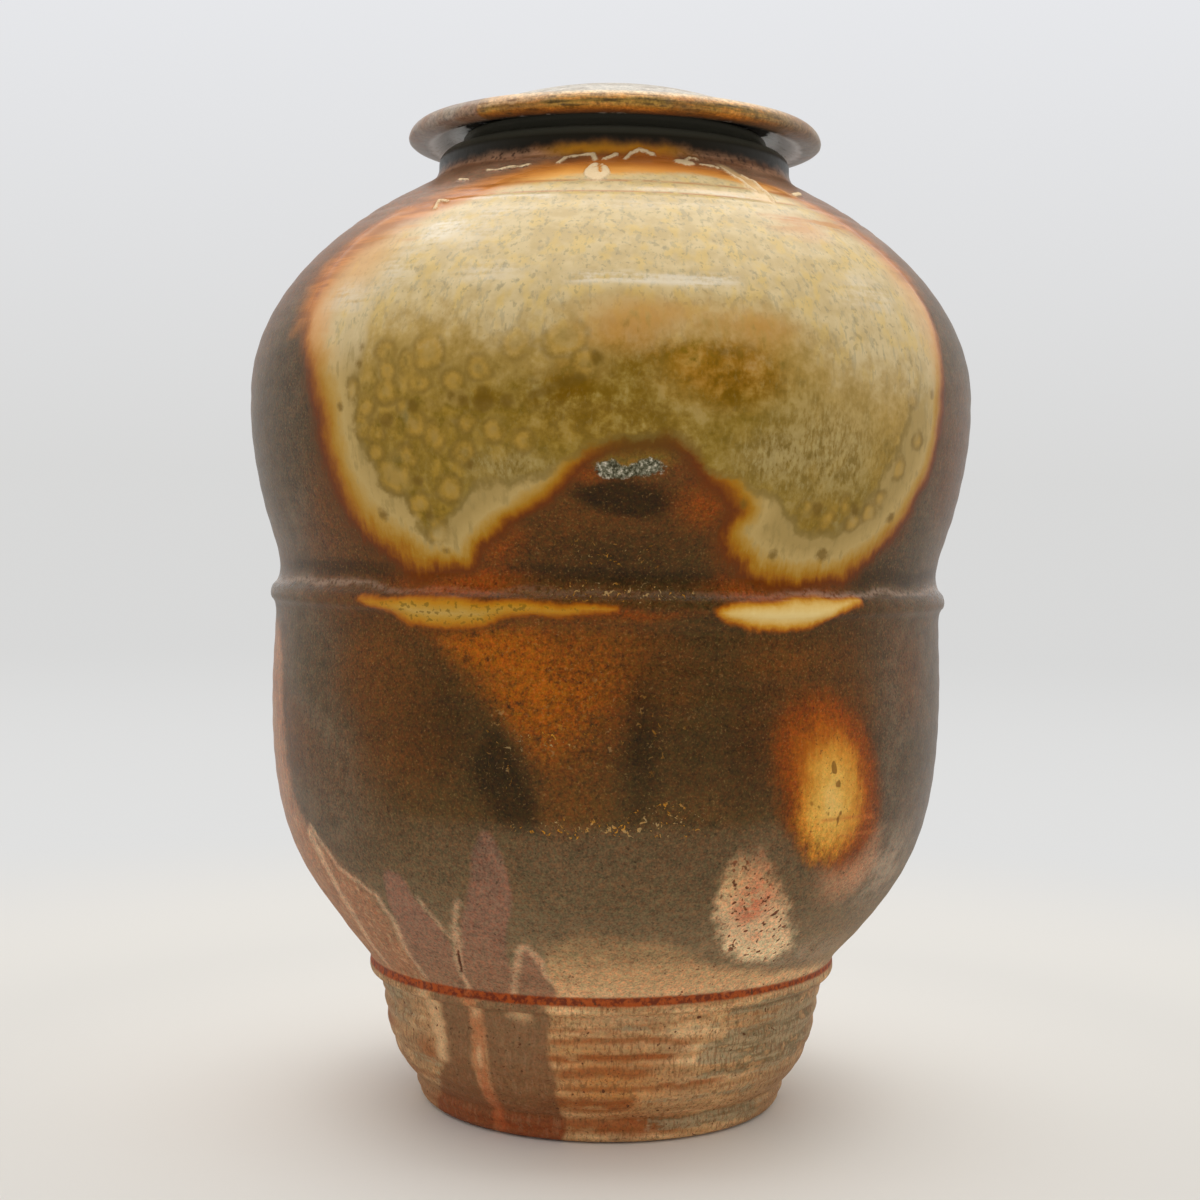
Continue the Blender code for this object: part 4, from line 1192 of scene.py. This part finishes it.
def ash_layer(p, body):
    """The cream run with a painted highlight along a groove, the red ledge line darkened as painted shade
    under the ledge's lip, flecks and crusts. Gives the colour and three covers.
    """
    # Cream drip, and a painted highlight along a groove
    run = p.ease(p.stir("cream_run", medium=4), -1.5, 2.0)
    body = p.over(body, (224, 190, 138), run, 0.7)
    # Red ledge line, darkened as painted shade under the ledge's lip
    ledge = p.times(p.ease(p.stir("ledge_line", grain=1.2), -0.6, 0.5), p.ease(p.medium, 0.0, 0.4))
    body = p.over(body, p.mix(p.ease(p.grain, 0.4, 0.6), (108, 38, 12), (170, 74, 20)), ledge, 0.95)
    flecks = p.ease(p.plus(p.noise(1.8, 3, 0.6, twist=0.7), p.times("fleck", 0.1)), 0.625, 0.675)
    flecks = p.times(flecks, p.ease("fleck", 0.02, 0.3))
    body = p.over(body, p.mix(p.ease(p.medium, 0.4, 0.6), (196, 130, 36), (172, 140, 92)), flecks)
    iron = p.times(p.ease(p.noise(2.6, 2, 0.5), 0.68, 0.74), p.ease(p.height, 100, 70))
    body = p.over(body, (96, 60, 36), iron)
    body = p.over(body, (52, 30, 16), p.ease(p.stir("crack", fine=0.8), -0.3, 0.3))
    crust = p.ease(p.stir("crust", fine=1), -0.35, 0.35)
    body = p.over(body, p.mix(p.fine, (216, 184, 136), (232, 210, 172)), crust)
    silver = p.ease(p.stir("silver", grain=2.6), -0.4, 0.6)
    silver_stops = [(0.34, 58, 54, 34), (0.46, 98, 94, 72), (0.56, 130, 126, 104), (0.68, 204, 192, 170)]
    silver_shade = p.ramp(p.stir(p.grain, fine=0.7), silver_stops)
    return p.over(body, silver_shade, silver), flecks, crust, silver


def jar_material():
    """Layers of clay, flashing, glaze and crust, and how rough and raised they are."""
    p = Paint("ash_glazed_stoneware")
    add_jar_noises(p)
    body = clay_layer(p)
    for layer in (foot_layer, fire_layer, pink_layer, bare_marks_layer, grit_layer, neck_layer):
        body = layer(p, body)
    body, cover = glaze_layer(p, body)
    body, pool = pool_layer(p, body)
    body, flecks, crust, silver = ash_layer(p, body)

    wet = p.calc("MAXIMUM", p.ease(cover, 0.3, 0.9), p.ease(pool, -2, 0))
    dry = p.stir(p.ease(p.height, 60, 128, 0.62, 0.36), grain=0.25)
    polished = p.times(p.ridge(p.height, 205.0, 6.0), p.ease(p.grain, 0.66, 0.4))
    dry = p.blend(polished, dry, 0.2)
    roughness = p.blend(wet, dry, p.stir(0.20, medium=0.1))
    roughness = p.blend(p.calc("MAXIMUM", crust, silver), roughness, 0.55)
    coarse = p.ease(p.height, 60, 110, 0.22, 0.09)
    raised = p.plus(p.times(crust, 0.2), p.times(silver, p.grain, 0.5), p.times(flecks, 0.35))
    skin = {"grain": p.blend(wet, coarse, 0.04), "fine": p.blend(wet, 0.03, 0.01), "medium": 0.08}
    relief = p.stir(raised, **skin)
    p.shader.inputs["Specular IOR Level"].default_value = JAR_SPECULAR
    return p.finish(body, roughness, relief)


def lid_material():
    """The mottled roll and dome, the scorched left part, and the underside: pale bare clay painted near
    white as lit at the sides, and dark at the front with painted shade and smoke blackening.
    """
    p = Paint("flashed_stoneware")
    p.fine = p.noise(0.8, 3, 0.6)
    p.grain = p.noise(1.9, 4, 0.62)
    p.medium = p.noise(6.5, 3, 0.55)
    p.large = p.noise(30, 3, 0.5)
    section = p.stir("section", medium=2.2, grain=1.4, large=3)
    front = p.ramp(
        section,
        [
            (-14, 50, 44, 34), (-9, 74, 54, 34), (-5, 132, 84, 44), (-2.4, 172, 114, 46),
            (-0.6, 170, 128, 54), (0.8, 120, 92, 38), (1.8, 146, 112, 50), (3.2, 206, 154, 92),
            (5.0, 214, 186, 144), (9, 194, 182, 160), (12, 176, 162, 138), (15, 136, 114, 92),
            (19, 172, 162, 146), (34, 188, 180, 166), (44, 166, 156, 140), (58, 188, 180, 168),
            (87, 174, 166, 152),
        ],
    )
    calm = p.ramp(
        section,
        [
            (-14, 150, 142, 126), (-7, 134, 118, 98), (-2, 136, 116, 92), (3, 150, 126, 98),
            (8, 176, 150, 120), (12, 152, 126, 102), (16, 116, 94, 76), (20, 160, 146, 128),
            (44, 180, 168, 152), (60, 160, 148, 130), (87, 172, 160, 144),
        ],
    )
    veins = p.stir(p.noise(1.7, 3, 0.6, stretch=(0.09, 1.0)), medium=0.5)
    on_roll = p.times(p.ease(section, -6, -3), p.ease(section, 4.5, 2.5))
    front = p.over(front, (66, 48, 16), on_roll, p.ease(veins, 0.53, 0.62), 0.75)
    front = p.over(front, (204, 132, 54), on_roll, p.ease(veins, 0.47, 0.38), 0.6)
    base = p.mix("calm", front, calm)
    left = p.times("left", p.ease(section, 17, 14))
    cream = p.times(
        "cream", p.ease(section, 0.2, 2.2), p.ease(section, 14, 9), p.ease(veins, 0.66, 0.5), 0.85,
    )
    base = p.over(base, (232, 196, 148), cream)
    left_shade = p.mix(p.ease(p.medium, 0.35, 0.65), (136, 116, 102), (168, 154, 138))
    base = p.over(base, left_shade, left)
    rusty = p.times(p.ease(p.large, 0.48, 0.6), p.ease(section, 14, 10), 0.5)
    base = p.over(base, (134, 84, 40), rusty)
    base = p.over(base, (112, 86, 54), p.ease(p.medium, 0.5, 0.66), 0.45)
    specks = p.stir(1.0, grain=1.6, fine=1.4)
    base = p.mix(1.0, base, p.calc("MAXIMUM", specks, 0.4), blend="MULTIPLY")
    # The bare underside: pale clay painted near white as lit at the sides, and near black at the front as
    # painted shade with smoke blackening
    edge = p.stir("section", medium=3)
    sooty_shade = p.ease(p.stir("soot", medium=1.8, grain=1.4), 0.2, 0.85)
    bare = p.ease(edge, p.blend(sooty_shade, -7.5, -5.5), p.blend(sooty_shade, -11.0, -9.0))
    pale = p.mix(p.ease(p.grain, 0.3, 0.5), (226, 224, 214), (255, 255, 252))
    soot = p.mix(p.ease(p.medium, 0.3, 0.65), (30, 30, 26), (62, 56, 44))
    base = p.over(base, p.mix(sooty_shade, pale, soot), bare)
    relief = p.stir(0.0, grain=0.14, fine=0.05, medium=0.12)
    roughness = p.blend(bare, p.stir(0.34, grain=0.3), p.blend(sooty_shade, 0.3, 0.8))
    p.shader.inputs["Specular IOR Level"].default_value = LID_SPECULAR
    return p.finish(base, roughness, relief)


def add_jar():
    outline = half_section("jar")
    rim = int(outline[:, 1].argmax())
    inner = outline[rim:][::-1]

    def step(point):
        """Coarse on the inside below the neck, and near the axis."""
        hidden = point[0] < np.interp(point[1], inner[:, 1], inner[:, 0]) + 1.0
        hidden = hidden and point[1] < outline[rim, 1] - 8
        return HIDDEN_STEP if hidden or point[0] <= 50 else WALL_STEP

    s = Skin("jar_body", "jar", step, outside_of_jar)
    ash_marks(s)
    belly_marks(s)
    arch_marks(s)
    foot_marks(s)
    crust_marks(s)
    jar_form(s)
    piece = s.build(jar_material(), "jar")
    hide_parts("jar")


def add_lid():
    s = Skin("lid_body", "lid", lambda point: LID_STEP, outside_of_lid)
    lid_form(s)
    piece = s.build(lid_material(), "lid")
    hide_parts("lid")


# Stage: floor, lamps, world and camera

def add_floor():
    """A pale floor that takes the jar's shadow, is painted paler near the jar as painted light that weakens
    that shadow, and fades into the backdrop farther out.
    """
    mesh = bpy.data.meshes.new("floor")
    sides = ((-1, -1), (1, -1), (1, 1), (-1, 1))
    corners = [(x * FLOOR_REACH, y * FLOOR_REACH, 0) for x, y in sides]
    mesh.from_pydata(corners, [], [(0, 1, 2, 3)])
    floor = bpy.data.objects.new("floor", mesh)
    bpy.context.scene.collection.objects.link(floor)
    p = Paint("floor")
    p.feed(p.shader.inputs["Roughness"], 0.8)
    length = p.add("ShaderNodeVectorMath", operation="LENGTH")
    p.feed(length.inputs[0], p.add("ShaderNodeNewGeometry").outputs["Position"])
    away = length.outputs["Value"]
    # Paler near the jar: painted light that weakens the jar's shadow
    near = p.ease(away, *PAINTED_LIGHT_RING)
    p.feed(p.shader.inputs["Base Color"], p.mix(near, FLOOR_COLOUR, FLOOR_NEAR_PAINTED_LIGHT))
    glow = p.add("ShaderNodeEmission")
    p.feed(glow.inputs[0], p.mix(p.ease(away, *HORIZON_RING), BACKDROP_FOOT, BACKDROP_MIDDLE))
    mixed = p.add("ShaderNodeMixShader")
    sockets = (p.ease(away, *FADE_RING), p.shader.outputs[0], glow.outputs[0])
    for socket, value in zip(mixed.inputs, sockets):
        p.feed(socket, value)
    p.feed(p.tree.nodes["Material Output"].inputs["Surface"], mixed.outputs[0])
    mesh.materials.append(p.material)


def add_world():
    """A white tent. Rays from the camera meet its plain backdrop, and its camera side is darker."""
    world = bpy.data.worlds.new("studio")
    bpy.context.scene.world = world
    world.use_nodes = True
    tree = world.node_tree

    def add(kind, *values, **settings):
        node = tree.nodes.new(kind)
        for key, value in settings.items():
            setattr(node, key, value)
        for socket, value in zip(node.inputs, values):
            if isinstance(value, bpy.types.NodeSocket):
                tree.links.new(value, socket)
            else:
                socket.default_value = value
        return node.outputs

    def face(shade, strength):
        return add("ShaderNodeBackground", shade, strength)[0]

    parts = add("ShaderNodeSeparateXYZ", add("ShaderNodeTexCoord")["Generated"])
    path = add("ShaderNodeLightPath")
    rise = add("ShaderNodeValToRGB", add("ShaderNodeMapRange", parts[2], -0.2, 0.3, 0.0, 1.0)[0])
    band = rise[0].node.color_ramp
    band.elements[0].color = BACKDROP_MIDDLE
    band.elements[0].position = 0.45
    band.elements[1].color = BACKDROP_TOP
    backdrop = face(rise[0], 1.0)
    soft = face((1.0, 0.99, 0.97, 1), add("ShaderNodeMapRange", parts[1], -1.0, 0.3, 0.85, 0.75)[0])
    mirror = face(
        (1, 1, 1, 1),
        add("ShaderNodeMapRange", parts[1], -0.85, 0.15, 0.04, 0.82, interpolation_type="SMOOTHSTEP")[0],
    )
    lit = add("ShaderNodeMixShader", path["Is Glossy Ray"], soft, mirror)[0]
    seen = add("ShaderNodeMath", path["Is Camera Ray"], path["Is Transmission Ray"], operation="MAXIMUM")[0]
    final = add("ShaderNodeMixShader", seen, lit, backdrop)[0]
    tree.links.new(final, tree.nodes["World Output"].inputs["Surface"])


def add_softbox(name, place, target, size, radiance):
    """A rectangular lamp that faces target. radiance is how bright its face is, where 1 is white."""
    lamp = bpy.data.lights.new(name, "AREA")
    lamp.shape = "RECTANGLE"
    lamp.size, lamp.size_y = size
    lamp.energy = radiance * math.pi * size[0] * size[1]
    holder = bpy.data.objects.new(name, lamp)
    bpy.context.scene.collection.objects.link(holder)
    holder.location = place
    direction = (Vector(place) - Vector(target)).normalized()
    holder.rotation_euler = direction.to_track_quat("Z", "Y").to_euler()


def add_camera():
    data = bpy.data.cameras.new("camera")
    data.sensor_width = CAMERA_SENSOR
    data.lens = CAMERA_LENS
    camera = bpy.data.objects.new("camera", data)
    bpy.context.scene.collection.objects.link(camera)
    tilt = Matrix.Rotation(math.radians(90 + CAMERA_PITCH), 4, "X")
    roll = Matrix.Rotation(math.radians(CAMERA_ROLL), 4, "Z")
    camera.matrix_world = Matrix.Translation(CAMERA_PLACE) @ tilt @ roll
    bpy.context.scene.camera = camera


add_jar()
add_lid()
add_floor()
add_world()
add_softbox("ceiling", (0.0, 0.25, 1.3), (0.0, 0.25, 0.0), (1.5, 1.3), 2.1)
add_camera()
bpy.context.scene.view_settings.view_transform = "Standard"
